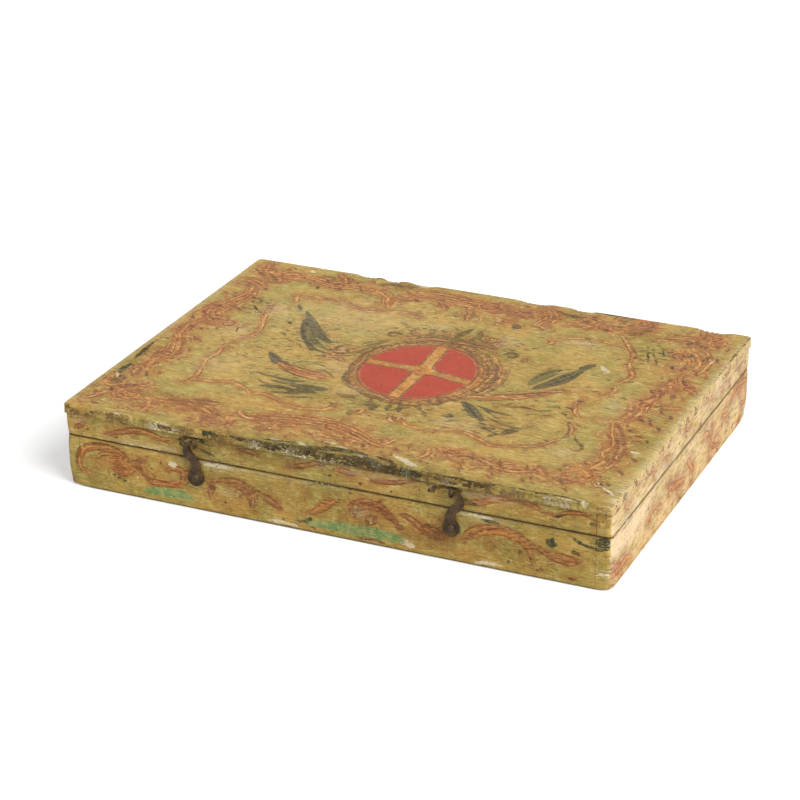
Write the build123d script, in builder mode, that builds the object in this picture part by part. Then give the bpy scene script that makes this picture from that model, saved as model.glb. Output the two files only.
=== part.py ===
from build123d import *
from math import asin, cos, radians, sin, sqrt
import os

# A shallow lacquered wooden box with a hinged lid and two front hooks. The origin is the centre of the
# underside, the front faces -Y, and all sizes are millimetres.

# Driving dimensions of the woodwork
lid_length = 350.0
lid_width = 262.0
side_overhang = 1.0
front_overhang = 1.75
base_height = 33.4
seam_gap = 0.3
rail_height = 14.3
top_board_thickness = 6.0
bottom_board_thickness = 6.0
wall_thickness = 9.0
corner_radius = 3.0
board_corner_radius = 4.0
board_edge_radius = 1.0

# Driving dimensions of the wood nails
wood_nail_shank = 1.8
wood_nail_head = 4.5
wood_nail_head_depth = 1.2
wood_nail_sink = 0.3
wood_nail_point = 2.0
corner_nail_length = 25.0
board_nail_length = 17.0
corner_nail_margin = 6.8
board_nail_inset = 55.0
side_nail_inset = 69.0
nail_clearance = 0.05

# Driving dimensions of the hinges
hinge_inset = 92.0
hinge_width = 27.0
leaf_thickness = 1.0
base_leaf_drop = 20.0
lid_leaf_rise = 13.4
leaf_corner_radius = 2.0
barrel_radius = 2.1
barrel_standoff = 0.3
pin_radius = 1.1
pin_clearance = 0.05
pin_head_radius = 1.8
pin_head_length = 0.8
knuckle_gap = 0.3
leaf_relief = 0.3
leaf_nail_shank = 1.5
leaf_nail_head = 4.0
leaf_nail_head_height = 0.7
leaf_nail_length = 8.0
leaf_nail_margin = 2.7
leaf_nail_side_margin = 5.0
near_nail_offset = 6.5

# Driving dimensions of the hooks and staples
left_clasp_inset = 88.8
right_clasp_inset = 95.6
pivot_height = 21.8
staple_drop = 4.0
hook_thickness = 1.5
hook_eye_radius = 5.2
hook_neck_width = 5.6
hook_neck_shift = 1.5
hook_neck_flare = 1.0
hook_bulge = 5.4
hook_wrist_shift = 1.0
bill_height = 1.9
bill_tip = 1.8
bill_clearance = 0.45
crook_clearance = 0.8
crook_radius = 1.1
hook_side_clearance = 0.2
washer_radius = 3.2
washer_thickness = 0.6
pivot_radius = 1.1
pivot_clearance = 0.05
pivot_head_radius = 2.6
pivot_head_height = 1.4
pivot_depth = 8.0
staple_wire = 1.4
staple_radius = 2.6
staple_reach = 1.1
staple_leg_depth = 8.0

# How far up the hook its outline narrows, widens, bulges and turns in, as shares of its reach
waist_share = 0.34
shoulder_share = 0.5
wrist_share = 0.66
bulge_share = 0.81

# Places worked out from the driving dimensions
case_length = lid_length - 2 * side_overhang
case_width = lid_width - 2 * front_overhang
case_front = -case_width / 2
case_back = case_width / 2
between_sides = case_length - 2 * wall_thickness
lid_bottom = base_height + seam_gap
board_bottom = lid_bottom + rail_height
box_top = board_bottom + top_board_thickness
wall_height = base_height - bottom_board_thickness
wall_line_x = case_length / 2 - wall_thickness / 2
wall_line_y = case_width / 2 - wall_thickness / 2
corner_nail_heights = (bottom_board_thickness + corner_nail_margin, base_height - corner_nail_margin)
axis_z = base_height + seam_gap / 2
axis_y = case_back + barrel_standoff + barrel_radius
hinge_places = {"left": hinge_inset - case_length / 2, "right": case_length / 2 - hinge_inset}
clasp_places = {
    "left": left_clasp_inset - case_length / 2,
    "right": case_length / 2 - right_clasp_inset,
}
clasp_sides = {"left": -1, "right": 1}
knuckle_length = (hinge_width - 2 * knuckle_gap) / 3
knuckle_step = knuckle_length + knuckle_gap
bore_radius = pin_radius + pin_clearance
leaf_nail_hole = leaf_nail_shank / 2 + nail_clearance
staple_height = board_bottom - staple_drop
hook_reach = staple_height - pivot_height
hook_rest_turn = asin((bill_tip + staple_wire / 2 + bill_clearance) / hook_reach)
hook_back_y = case_front - washer_thickness - hook_side_clearance
pivot_head_y = hook_back_y - hook_thickness - hook_side_clearance

os.makedirs("parts", exist_ok=True)


# A finished piece gets its name and its file
def keep(piece, name):
    piece.part.label = name
    export_step(piece.part, f"parts/{name}.step")


# A sunk nail, or the hole it sits in when a clearance is given. The plane lies on the head's face and its
# +Z runs out of the wood.
def wood_nail(plane, length, clearance=0.0):
    head = wood_nail_head / 2 + clearance
    shank = wood_nail_shank / 2 + clearance
    with BuildPart() as nail:
        with BuildSketch(plane * Plane.XZ):
            with BuildLine():
                Polyline(
                    (0, 0),
                    (head, 0),
                    (head, -wood_nail_head_depth / 3),
                    (shank, -wood_nail_head_depth),
                    (shank, wood_nail_point - length),
                    (0, -length - clearance),
                    close=True,
                )
            make_face()
        revolve(axis=Axis(plane.origin, plane.z_dir))
        if clearance:
            with BuildSketch(plane):
                Circle(head)
            extrude(amount=2 * wood_nail_sink)
    return nail.part


# The plane of a nail head that is sunk below an outer face
def head_plane(x, y, z, outward):
    sunk = Vector(x, y, z) - Vector(*outward) * wood_nail_sink
    across = (0, 1, 0) if outward[0] else (1, 0, 0)
    return Plane(origin=sunk, x_dir=across, z_dir=outward)


# Nail heads on the sides, driven along X into the ends of the front and back pieces
def corner_heads(height):
    return [
        head_plane(side * case_length / 2, end * wall_line_y, height, (side, 0, 0))
        for side in (-1, 1)
        for end in (-1, 1)
    ]


# Nail heads around the edge of a board, driven along Z into the walls or rails
def board_heads(height, up):
    along_x = between_sides / 2 - board_nail_inset
    along_y = case_width / 2 - side_nail_inset
    spots = [(x, end * wall_line_y) for x in (-along_x, 0, along_x) for end in (-1, 1)]
    spots += [(side * wall_line_x, y) for side in (-1, 1) for y in (-along_y, along_y)]
    return [head_plane(x, y, height, (0, 0, up)) for x, y in spots]


base_corner_heads = [head for height in corner_nail_heights for head in corner_heads(height)]
lid_corner_heads = corner_heads(lid_bottom + rail_height / 2)
bottom_heads = board_heads(0, -1)
top_heads = board_heads(box_top, 1)


# Nail holes are cut from the piece that is being built
def cut_nails(heads, length):
    for plane in heads:
        add(wood_nail(plane, length, nail_clearance), mode=Mode.SUBTRACT)


# A round hole that runs into the wood from an outer face, along Y
def drill(x, face_y, z, radius, depth):
    inward = -1 if face_y > 0 else 1
    with BuildSketch(Plane((x, face_y, z), x_dir=(1, 0, 0), z_dir=(0, inward, 0))) as hole:
        Circle(radius)
    extrude(hole.sketch, amount=depth, mode=Mode.SUBTRACT)


# A board with rounded corners
def board(length, width, bottom, thickness, radius):
    with BuildSketch(Plane.XY.offset(bottom)) as outline:
        RectangleRounded(length, width, radius)
    extrude(outline.sketch, amount=thickness)


# A side piece runs the full depth and has rounded outer corners
def side_piece(side, bottom, height):
    with BuildSketch(Plane.XY.offset(bottom)) as outline:
        with Locations((side * wall_line_x, 0)):
            Rectangle(wall_thickness, case_width)
    extrude(outline.sketch, amount=height)
    outer = edges().filter_by(Axis.Z).group_by(Axis.X)[-1 if side > 0 else 0]
    fillet(outer, corner_radius)


# A front or back piece fits between the two sides
def end_piece(end, bottom, height):
    with BuildSketch(Plane.XY.offset(bottom)) as outline:
        with Locations((0, end * wall_line_y)):
            Rectangle(between_sides, wall_thickness)
    extrude(outline.sketch, amount=height)


# The places of a hinge leaf's nails: x along the hinge and the distance from its axis
def leaf_nail_spots(x, length):
    across = hinge_width / 2 - leaf_nail_side_margin
    return [
        (x - across, near_nail_offset),
        (x + across, near_nail_offset),
        (x, length - leaf_nail_margin),
    ]


# Base: the bottom board under four walls
with BuildPart() as bottom_board:
    board(case_length, case_width, 0, bottom_board_thickness, corner_radius)
    cut_nails(bottom_heads, board_nail_length)
keep(bottom_board, "bottom_board")

with BuildPart() as base_front_wall:
    end_piece(-1, bottom_board_thickness, wall_height)
    cut_nails(bottom_heads, board_nail_length)
    cut_nails(base_corner_heads, corner_nail_length)
    for x in clasp_places.values():
        drill(x, case_front, pivot_height, pivot_radius + nail_clearance, pivot_depth + nail_clearance)
keep(base_front_wall, "base_front_wall")

with BuildPart() as base_back_wall:
    end_piece(1, bottom_board_thickness, wall_height)
    cut_nails(bottom_heads, board_nail_length)
    cut_nails(base_corner_heads, corner_nail_length)
    for x in hinge_places.values():
        for across, away in leaf_nail_spots(x, base_leaf_drop):
            drill(across, case_back, axis_z - away, leaf_nail_hole, leaf_nail_length)
keep(base_back_wall, "base_back_wall")

with BuildPart() as base_left_wall:
    side_piece(-1, bottom_board_thickness, wall_height)
    cut_nails(bottom_heads, board_nail_length)
    cut_nails(base_corner_heads, corner_nail_length)
keep(base_left_wall, "base_left_wall")

with BuildPart() as base_right_wall:
    side_piece(1, bottom_board_thickness, wall_height)
    cut_nails(bottom_heads, board_nail_length)
    cut_nails(base_corner_heads, corner_nail_length)
keep(base_right_wall, "base_right_wall")

# Lid: a top board over four rails
with BuildPart() as lid_top_board:
    board(lid_length, lid_width, board_bottom, top_board_thickness, board_corner_radius)
    fillet(faces().sort_by(Axis.Z)[-1].edges(), board_edge_radius)
    cut_nails(top_heads, board_nail_length)
keep(lid_top_board, "lid_top_board")

with BuildPart() as lid_front_rail:
    end_piece(-1, lid_bottom, rail_height)
    cut_nails(top_heads, board_nail_length)
    cut_nails(lid_corner_heads, corner_nail_length)
    for x in clasp_places.values():
        for leg_z in (staple_height - staple_radius, staple_height + staple_radius):
            leg_hole = staple_wire / 2 + nail_clearance
            drill(x, case_front, leg_z, leg_hole, staple_leg_depth + nail_clearance)
keep(lid_front_rail, "lid_front_rail")

with BuildPart() as lid_back_rail:
    end_piece(1, lid_bottom, rail_height)
    cut_nails(top_heads, board_nail_length)
    cut_nails(lid_corner_heads, corner_nail_length)
    for x in hinge_places.values():
        for across, away in leaf_nail_spots(x, lid_leaf_rise):
            drill(across, case_back, axis_z + away, leaf_nail_hole, leaf_nail_length)
keep(lid_back_rail, "lid_back_rail")

with BuildPart() as lid_left_rail:
    side_piece(-1, lid_bottom, rail_height)
    cut_nails(top_heads, board_nail_length)
    cut_nails(lid_corner_heads, corner_nail_length)
keep(lid_left_rail, "lid_left_rail")

with BuildPart() as lid_right_rail:
    side_piece(1, lid_bottom, rail_height)
    cut_nails(top_heads, board_nail_length)
    cut_nails(lid_corner_heads, corner_nail_length)
keep(lid_right_rail, "lid_right_rail")

# Nails of the woodwork, each group in one file
nail_groups = {
    "base_corner_nails": (base_corner_heads, corner_nail_length),
    "bottom_board_nails": (bottom_heads, board_nail_length),
    "lid_corner_nails": (lid_corner_heads, corner_nail_length),
    "lid_board_nails": (top_heads, board_nail_length),
}
for name, (heads, length) in nail_groups.items():
    with BuildPart() as nails:
        for plane in heads:
            add(wood_nail(plane, length))
    keep(nails, name)


# A hinge leaf: a plate on the back face and its share of the barrel. Way is -1 for the base, 1 for the lid.
def hinge_leaf(x, way, length, own_knuckles, other_knuckles):
    height = length - seam_gap / 2
    middle = axis_z + way * (seam_gap / 2 + height / 2)
    with BuildPart() as leaf:
        with BuildSketch(Plane((x, case_back, middle), x_dir=(-1, 0, 0), z_dir=(0, 1, 0))):
            Rectangle(hinge_width, height)
        extrude(amount=leaf_thickness)
        far_corners = edges().filter_by(Axis.Y).group_by(Axis.Z)[-1 if way > 0 else 0]
        fillet(far_corners, leaf_corner_radius)
        # The barrel's knuckles grow from the plate
        for step in own_knuckles:
            start = x + step * knuckle_step - knuckle_length / 2
            with BuildSketch(Plane((start, axis_y, axis_z), z_dir=(1, 0, 0))):
                Circle(barrel_radius)
            extrude(amount=knuckle_length)
        # Beside the other leaf's knuckles the plate is cut back, clear of the barrel
        for step in other_knuckles:
            place = (x + step * knuckle_step, case_back, axis_z)
            with BuildSketch(Plane(place, x_dir=(-1, 0, 0), z_dir=(0, 1, 0))):
                Rectangle(knuckle_length + 2 * knuckle_gap, 2 * (barrel_radius + leaf_relief))
            extrude(amount=leaf_thickness, mode=Mode.SUBTRACT)
        with BuildSketch(Plane((x - hinge_width, axis_y, axis_z), z_dir=(1, 0, 0))):
            Circle(bore_radius)
        extrude(amount=2 * hinge_width, mode=Mode.SUBTRACT)
        for across, away in leaf_nail_spots(x, length):
            with BuildSketch(Plane((across, case_back, axis_z + way * away), z_dir=(0, 1, 0))):
                Circle(leaf_nail_hole)
            extrude(amount=leaf_thickness, mode=Mode.SUBTRACT)
    return leaf


for side, x in hinge_places.items():
    keep(hinge_leaf(x, -1, base_leaf_drop, (-1, 1), (0,)), f"{side}_hinge_base_leaf")
    keep(hinge_leaf(x, 1, lid_leaf_rise, (0,), (-1, 1)), f"{side}_hinge_lid_leaf")

    # The pin runs through the barrel and is peened over at both ends
    with BuildPart() as hinge_pin:
        with BuildSketch(Plane((x - hinge_width / 2, axis_y, axis_z), z_dir=(1, 0, 0))):
            Circle(pin_radius)
        extrude(amount=hinge_width)
        for end in (-1, 1):
            with BuildSketch(Plane((x + end * hinge_width / 2, axis_y, axis_z), z_dir=(end, 0, 0))):
                Circle(pin_head_radius)
            extrude(amount=pin_head_length)
        fillet(edges().group_by(Axis.X)[0] + edges().group_by(Axis.X)[-1], pin_head_length / 2)
    keep(hinge_pin, f"{side}_hinge_pin")


# A round-headed nail on an outer face. The plane lies under the head and its +Z runs out of the wood.
def dome_nail(plane, shank_radius, length, head_radius, head_height):
    sphere = (head_radius**2 + head_height**2) / (2 * head_height)
    half_way = head_radius / 2
    half_height = sqrt(sphere**2 - half_way**2) - sphere + head_height
    with BuildPart() as nail:
        with BuildSketch(plane * Plane.XZ):
            with BuildLine():
                ThreePointArc((0, head_height), (half_way, half_height), (head_radius, 0))
                Polyline(
                    (head_radius, 0),
                    (shank_radius, 0),
                    (shank_radius, shank_radius - length),
                    (0, -length),
                    (0, head_height),
                )
            make_face()
        revolve(axis=Axis(plane.origin, plane.z_dir))
    return nail.part


leaf_lengths = {"base": (-1, base_leaf_drop), "lid": (1, lid_leaf_rise)}
for name, (way, length) in leaf_lengths.items():
    with BuildPart() as leaf_nails:
        for x in hinge_places.values():
            for across, away in leaf_nail_spots(x, length):
                seat = (across, case_back + leaf_thickness, axis_z + way * away)
                seat_plane = Plane(seat, x_dir=(1, 0, 0), z_dir=(0, 1, 0))
                add(
                    dome_nail(
                        seat_plane,
                        leaf_nail_shank / 2,
                        leaf_nail_length,
                        leaf_nail_head / 2,
                        leaf_nail_head_height,
                    )
                )
    keep(leaf_nails, f"hinge_{name}_leaf_nails")


# The outline of a hook above its eye. Across runs away from the box's middle and up runs towards the bill,
# whose centre line is one reach above the pivot. The body bulges outwards beside the staple.
def hook_outline(out):
    def spot(across, up):
        return (out * across, up)

    neck_outer = hook_neck_width / 2 - hook_neck_shift
    neck_inner = -hook_neck_width / 2 - hook_neck_shift
    bill_top = hook_reach + bill_height / 2
    bill_bottom = hook_reach - bill_height / 2
    crook = staple_wire / 2 + crook_clearance
    crook_low = bill_bottom - 2 * crook_radius
    slant = crook_radius * (1 - sqrt(0.5))
    eye_side = hook_eye_radius * sqrt(0.5) * 0.98
    waist = hook_reach * waist_share
    shoulder = hook_reach * shoulder_share
    wrist = hook_reach * wrist_share
    bulge = hook_reach * bulge_share
    with BuildLine() as outline:
        ThreePointArc(
            spot(eye_side, eye_side),
            spot(neck_outer, waist),
            spot(neck_outer + hook_neck_flare, shoulder),
        )
        ThreePointArc(
            spot(neck_outer + hook_neck_flare, shoulder),
            spot(hook_bulge, bulge),
            spot(-bill_tip, bill_top),
        )
        Polyline(
            spot(-bill_tip, bill_top),
            spot(-bill_tip, bill_bottom),
            spot(crook - crook_radius, bill_bottom),
        )
        ThreePointArc(
            spot(crook - crook_radius, bill_bottom),
            spot(crook - slant, bill_bottom - slant),
            spot(crook, bill_bottom - crook_radius),
        )
        Line(spot(crook, bill_bottom - crook_radius), spot(crook, crook_low))
        ThreePointArc(
            spot(crook, crook_low),
            spot(crook - (crook + hook_wrist_shift) * 0.4, (crook_low + wrist) / 2),
            spot(-hook_wrist_shift, wrist),
        )
        ThreePointArc(
            spot(-hook_wrist_shift, wrist),
            spot(neck_inner + hook_neck_flare, shoulder),
            spot(neck_inner, waist),
        )
        Line(spot(neck_inner, waist), spot(-eye_side, eye_side))
        Line(spot(-eye_side, eye_side), spot(eye_side, eye_side))
    make_face(outline.edges())


# Hooks stand a little to the side of their staples, so that the lid is free to open
for side, x in clasp_places.items():
    with BuildPart() as hook_washer:
        with BuildSketch(Plane((x, case_front, pivot_height), z_dir=(0, -1, 0))):
            Circle(washer_radius)
            Circle(pivot_radius + nail_clearance, mode=Mode.SUBTRACT)
        extrude(amount=washer_thickness)
    keep(hook_washer, f"{side}_hook_washer")

    out = clasp_sides[side]
    upright = (cos(hook_rest_turn), 0, -out * sin(hook_rest_turn))
    with BuildPart() as hook:
        with BuildSketch(Plane((x, hook_back_y, pivot_height), x_dir=upright, z_dir=(0, -1, 0))):
            Circle(hook_eye_radius)
            hook_outline(out)
            Circle(pivot_radius + pivot_clearance, mode=Mode.SUBTRACT)
        extrude(amount=hook_thickness)
    keep(hook, f"{side}_hook")

    head_seat = Plane((x, pivot_head_y, pivot_height), x_dir=(1, 0, 0), z_dir=(0, -1, 0))
    nail_length = case_front - pivot_head_y + pivot_depth
    with BuildPart() as hook_nail:
        add(dome_nail(head_seat, pivot_radius, nail_length, pivot_head_radius, pivot_head_height))
    keep(hook_nail, f"{side}_hook_nail")

    # The staple is one wire: a leg in the rail, a round crown in front of it and a leg back
    crown_y = case_front - staple_reach
    leg_y = case_front + staple_leg_depth
    low = staple_height - staple_radius
    high = staple_height + staple_radius
    with BuildPart() as staple:
        with BuildLine() as wire_path:
            Line((x, leg_y, low), (x, crown_y, low))
            ThreePointArc(
                (x, crown_y, low), (x, crown_y - staple_radius, staple_height), (x, crown_y, high)
            )
            Line((x, crown_y, high), (x, leg_y, high))
        with BuildSketch(Plane((x, leg_y, low), z_dir=(0, -1, 0))):
            Circle(staple_wire / 2)
        sweep(path=wire_path.line)
    keep(staple, f"{side}_staple")
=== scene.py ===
from math import cos, radians, sin, sqrt

import bpy
import numpy as np
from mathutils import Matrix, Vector


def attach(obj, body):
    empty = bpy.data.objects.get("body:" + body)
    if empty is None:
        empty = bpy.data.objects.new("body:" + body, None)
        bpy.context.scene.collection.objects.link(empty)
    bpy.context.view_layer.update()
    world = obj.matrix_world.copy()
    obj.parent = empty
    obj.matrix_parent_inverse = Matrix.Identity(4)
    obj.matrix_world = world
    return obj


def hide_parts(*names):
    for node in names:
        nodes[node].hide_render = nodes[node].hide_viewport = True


# The lacquered wooden box, dressed over its CAD frame. Meshes are in metres, the painting in millimetres.
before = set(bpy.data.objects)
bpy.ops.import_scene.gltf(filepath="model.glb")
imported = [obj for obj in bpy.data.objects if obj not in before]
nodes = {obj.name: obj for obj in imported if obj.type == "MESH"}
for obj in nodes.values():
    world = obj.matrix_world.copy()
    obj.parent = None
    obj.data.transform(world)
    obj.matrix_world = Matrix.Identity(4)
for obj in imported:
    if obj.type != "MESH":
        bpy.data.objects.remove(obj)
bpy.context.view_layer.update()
print("frame loaded:", len(nodes), "nodes")

# Camera as in the photograph
cameraSetup = {
    "place": (0.5791, -1.3150, 0.6845),
    "azimuth": 24.185,
    "elevation": 24.39,
    "roll": -0.4,
    "lens": 114.7,
}
cameraData = bpy.data.cameras.new("photo_camera")
cameraData.lens = cameraSetup["lens"]
cameraData.sensor_width = 36
camera = bpy.data.objects.new("photo_camera", cameraData)
bpy.context.scene.collection.objects.link(camera)
turn = radians(cameraSetup["azimuth"])
dip = radians(cameraSetup["elevation"])
sight = Vector((-sin(turn) * cos(dip), cos(turn) * cos(dip), -sin(dip)))
camera.location = cameraSetup["place"]
camera.rotation_euler = sight.to_track_quat("-Z", "Y").to_euler()
camera.rotation_euler.rotate_axis("Z", radians(cameraSetup["roll"]))
bpy.context.scene.camera = camera
bpy.context.scene.view_settings.view_transform = "Standard"


# A colour as it is read off a screen, 0 to 255, in the linear form that the shaders take
def paint(red, green, blue):
    linear = []
    for part in (red, green, blue):
        part = part / 255
        linear.append(part / 12.92 if part <= 0.04045 else ((part + 0.055) / 1.055) ** 2.4)
    return (*linear, 1.0)


# Shader maths: a Value is a socket, and an expression on Values adds its Math nodes
class Value:
    def __init__(self, shader, socket):
        self.shader = shader
        self.socket = socket

    def __add__(self, other):
        return self.shader.math("ADD", self, other)

    def __sub__(self, other):
        return self.shader.math("SUBTRACT", self, other)

    def __rsub__(self, other):
        return self.shader.math("SUBTRACT", other, self)

    def __mul__(self, other):
        return self.shader.math("MULTIPLY", self, other)

    __radd__ = __add__
    __rmul__ = __mul__


# A material with its nodes. node() makes any node: settings first, then values or links of its sockets.
class Shader:
    def __init__(self, name):
        self.material = bpy.data.materials.new(name)
        self.material.use_nodes = True
        self.tree = self.material.node_tree
        self.surface = self.tree.nodes["Principled BSDF"]
        self.count = 0

    def feed(self, socket, value):
        if isinstance(value, Value):
            self.tree.links.new(value.socket, socket)
        else:
            socket.default_value = value

    def node(self, kind, inputs=None, out=0, **settings):
        made = self.tree.nodes.new(kind)
        self.count += 1
        made.location = (-300 - 180 * (self.count % 12), 300 - 160 * (self.count // 12))
        for key, value in settings.items():
            setattr(made, key, value)
        for key, value in (inputs or {}).items():
            self.feed(made.inputs[key], value)
        return Value(self, made.outputs[out])

    def math(self, operation, first, second=0.0):
        return self.node("ShaderNodeMath", {0: first, 1: second}, operation=operation)

    def low(self, first, second):
        return self.math("MINIMUM", first, second)

    def high(self, first, second):
        return self.math("MAXIMUM", first, second)

    def size(self, value):
        return self.math("ABSOLUTE", value)

    # 0 below the start and 1 above the end, with a soft step between
    def step(self, value, start, end):
        given = {"Value": value, "From Min": start, "From Max": end}
        return self.node("ShaderNodeMapRange", given, interpolation_type="SMOOTHSTEP")

    def mix(self, share, first, second):
        return self.node("ShaderNodeMix", {0: share, 6: first, 7: second}, 2, data_type="RGBA")

    # The tone with a share of another colour over it
    def tint(self, tone, share, colour):
        return self.mix(share, tone, paint(*colour))

    def vector(self, operation, first, second):
        return self.node("ShaderNodeVectorMath", {0: first, 1: second}, operation=operation)

    def split(self, vector):
        parts = self.node("ShaderNodeSeparateXYZ", {0: vector})
        return [Value(self, out) for out in parts.socket.node.outputs]

    # Object coordinates in millimetres
    def place(self):
        spot = self.node("ShaderNodeTexCoord", out=3)
        return self.vector("MULTIPLY", spot, (1000, 1000, 1000))

    # Grain of the given size in millimetres, 0 to 1
    def grain(self, place, size, detail=3.0, rough=0.55, bend=0.0):
        given = {"Vector": place, "Scale": 1 / size, "Detail": detail, "Roughness": rough}
        return self.node("ShaderNodeTexNoise", {**given, "Distortion": bend})

    # How far each place lies from the edges of cells of the given size
    def fromCellEdge(self, place, size):
        given = {"Vector": place, "Scale": 1 / size}
        return self.node("ShaderNodeTexVoronoi", given, feature="DISTANCE_TO_EDGE")

    def attribute(self, name, out="Fac"):
        return self.node("ShaderNodeAttribute", None, out, attribute_name=name)

    def bump(self, height, distance, strength):
        return self.node("ShaderNodeBump", {"Height": height, "Distance": distance, "Strength": strength})

    def finish(self, **sockets):
        for key, value in sockets.items():
            self.feed(self.surface.inputs[key.replace("_", " ")], value)
        return self.material


# Painting: strokes are laid as points in millimetres, and each vertex of the painted board keeps
# how far inside the nearest stroke it lies, its colour, and its place across and along that stroke
def smoothLine(points, gap=0.5):
    points = np.array(points, float)
    ends = np.vstack([2 * points[0] - points[1], points, 2 * points[-1] - points[-2]])
    line = []
    for before, start, end, after in zip(ends[:-3], ends[1:-2], ends[2:-1], ends[3:]):
        count = max(2, int(np.linalg.norm(end - start) / gap))
        t = np.linspace(0, 1, count, endpoint=False)[:, None]
        bow = 2 * before - 5 * start + 4 * end - after
        bend = 3 * start - before - 3 * end + after
        line.append(start + 0.5 * ((end - before) * t + bow * t**2 + bend * t**3))
    line.append(points[-1:])
    return np.vstack(line)


# Half the width of a stroke at the share t of its length, from its start, middle and end
def halfWidth(widths, t):
    start, middle, end = widths
    return start * (1 - t) * (1 - 2 * t) + 4 * middle * t * (1 - t) + end * t * (2 * t - 1)


# The direction of a line at each of its points
def headings(line):
    aim = np.gradient(line, axis=0)
    return aim / np.maximum(np.linalg.norm(aim, axis=1)[:, None], 1e-6)


# How far along a line each of its points lies
def distances(line):
    return np.concatenate([[0], np.cumsum(np.linalg.norm(np.diff(line, axis=0), axis=1))])


# A scroll's curled end: points round a middle, from one radius to another
def curl(x, y, start, end, fromAngle, turns, count=9):
    spots = []
    for step in range(count):
        share = step / (count - 1)
        angle = radians(fromAngle + 360 * turns * share)
        radius = start + (end - start) * share
        spots.append((x + radius * cos(angle), y + radius * sin(angle)))
    return spots


# One coat of strokes over a board's vertices. Places further than its reach from a stroke don't feel it.
class Layer:
    reach = 8.0

    def __init__(self, u, v):
        self.u, self.v = u, v
        count = len(u)
        self.inside = np.full(count, -self.reach)
        self.colour = np.zeros((count, 4))
        self.across = np.zeros(count)
        self.along = np.zeros(count)

    def lay(self, near, inside, colour, across, along):
        wins = inside > self.inside[near]
        spots = near[wins]
        self.inside[spots] = inside[wins]
        self.colour[spots] = paint(*inks[colour])
        self.across[spots] = across[wins]
        self.along[spots] = along[wins]

    # Widths are half widths at the start, the middle and the end
    def stroke(self, colour, widths, points):
        line = smoothLine(points)
        half = np.maximum(halfWidth(widths, np.linspace(0, 1, len(line))), 0.2)
        low = line.min(0) - self.reach
        high = line.max(0) + self.reach
        inU = (self.u > low[0]) & (self.u < high[0])
        near = np.nonzero(inU & (self.v > low[1]) & (self.v < high[1]))[0]
        if not len(near):
            return
        apart = np.hypot(self.u[near][:, None] - line[:, 0], self.v[near][:, None] - line[:, 1])
        place = (apart - half).argmin(1)
        inside = half[place] - apart[np.arange(len(near)), place]
        aim = headings(line)[place]
        side = (self.v[near] - line[place, 1]) * aim[:, 0] - (self.u[near] - line[place, 0]) * aim[:, 1]
        self.lay(near, inside, colour, side, distances(line)[place])

    # A field is a shape given by a formula for how far inside it each point is
    def field(self, colour, inside):
        self.lay(np.arange(len(self.u)), inside, colour, inside, self.u + self.v)


# Soft shares between 0 and 1: grime with painted shade, rubbed pale and warm wash. A spot is its middle, half
# sizes and strength.
def softSpots(u, v, spots):
    total = np.zeros(len(u))
    for x, y, wide, tall, strength in spots:
        total += strength * np.exp(-(((u - x) / wide) ** 2 + ((v - y) / tall) ** 2))
    return np.clip(total, 0, 1)


def store(obj, name, values, kind="FLOAT"):
    made = obj.data.attributes.new(name, kind, "POINT")
    key = "value" if kind == "FLOAT" else "color"
    made.data.foreach_set(key, np.asarray(values, np.float32).ravel())


def corners(obj):
    spots = np.zeros(len(obj.data.vertices) * 3)
    obj.data.vertices.foreach_get("co", spots)
    return spots.reshape(-1, 3)


def setCorners(obj, spots):
    obj.data.vertices.foreach_set("co", np.asarray(spots, np.float32).ravel())
    obj.data.update()


# Writes the layers of a painted piece. The soft shares go into one colour attribute.
def storePainting(obj, ink, fine, patch, grime, pale, warm):
    for name, layer in (("ink", ink), ("fine", fine), ("patch", patch)):
        store(obj, name + "Colour", layer.colour, "FLOAT_COLOR")
        store(obj, name + "Inside", layer.inside)
    store(obj, "inkAcross", ink.across)
    store(obj, "inkAlong", ink.along)
    store(obj, "soft", np.stack([grime, pale, warm, np.ones(len(grime))], 1), "FLOAT_COLOR")


# Modelling helpers. Everything is deselected first, and what an operator needs is selected by place.
def begin():
    bpy.ops.object.select_all(action="DESELECT")


def edit(mode):
    bpy.ops.object.mode_set(mode="EDIT")
    bpy.ops.mesh.select_mode(type=mode)


def leave():
    bpy.ops.object.mode_set(mode="OBJECT")


def pickVertices(obj, test):
    leave()
    for part in (*obj.data.polygons, *obj.data.edges):
        part.select = False
    for vertex in obj.data.vertices:
        vertex.select = bool(test(vertex.co))
    edit("VERT")


def pickEdges(obj, test):
    edit("EDGE")
    bpy.ops.mesh.select_all(action="DESELECT")
    leave()
    spots = [vertex.co.copy() for vertex in obj.data.vertices]
    for edge in obj.data.edges:
        first, second = (spots[corner] for corner in edge.vertices)
        edge.select = bool(test(first, second))
    edit("EDGE")


# Slight waviness of old hand-planed wood and gesso, pressed inwards only
def wave(obj, depth, size):
    texture = bpy.data.textures.new(obj.name + "_waves", "CLOUDS")
    texture.noise_scale = size
    modifier = obj.modifiers.new("waves", "DISPLACE")
    modifier.texture = texture
    modifier.texture_coords = "LOCAL"
    modifier.strength = depth
    modifier.mid_level = 1.0
    bpy.context.view_layer.objects.active = obj
    bpy.ops.object.modifier_apply(modifier=modifier.name)


# Gives a finished board its material, its body and the CAD board that it stands for
def settle(obj, body, material, replaced):
    obj.data.materials.clear()
    obj.data.materials.append(material)
    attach(obj, body)
    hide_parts(replaced)


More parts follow.
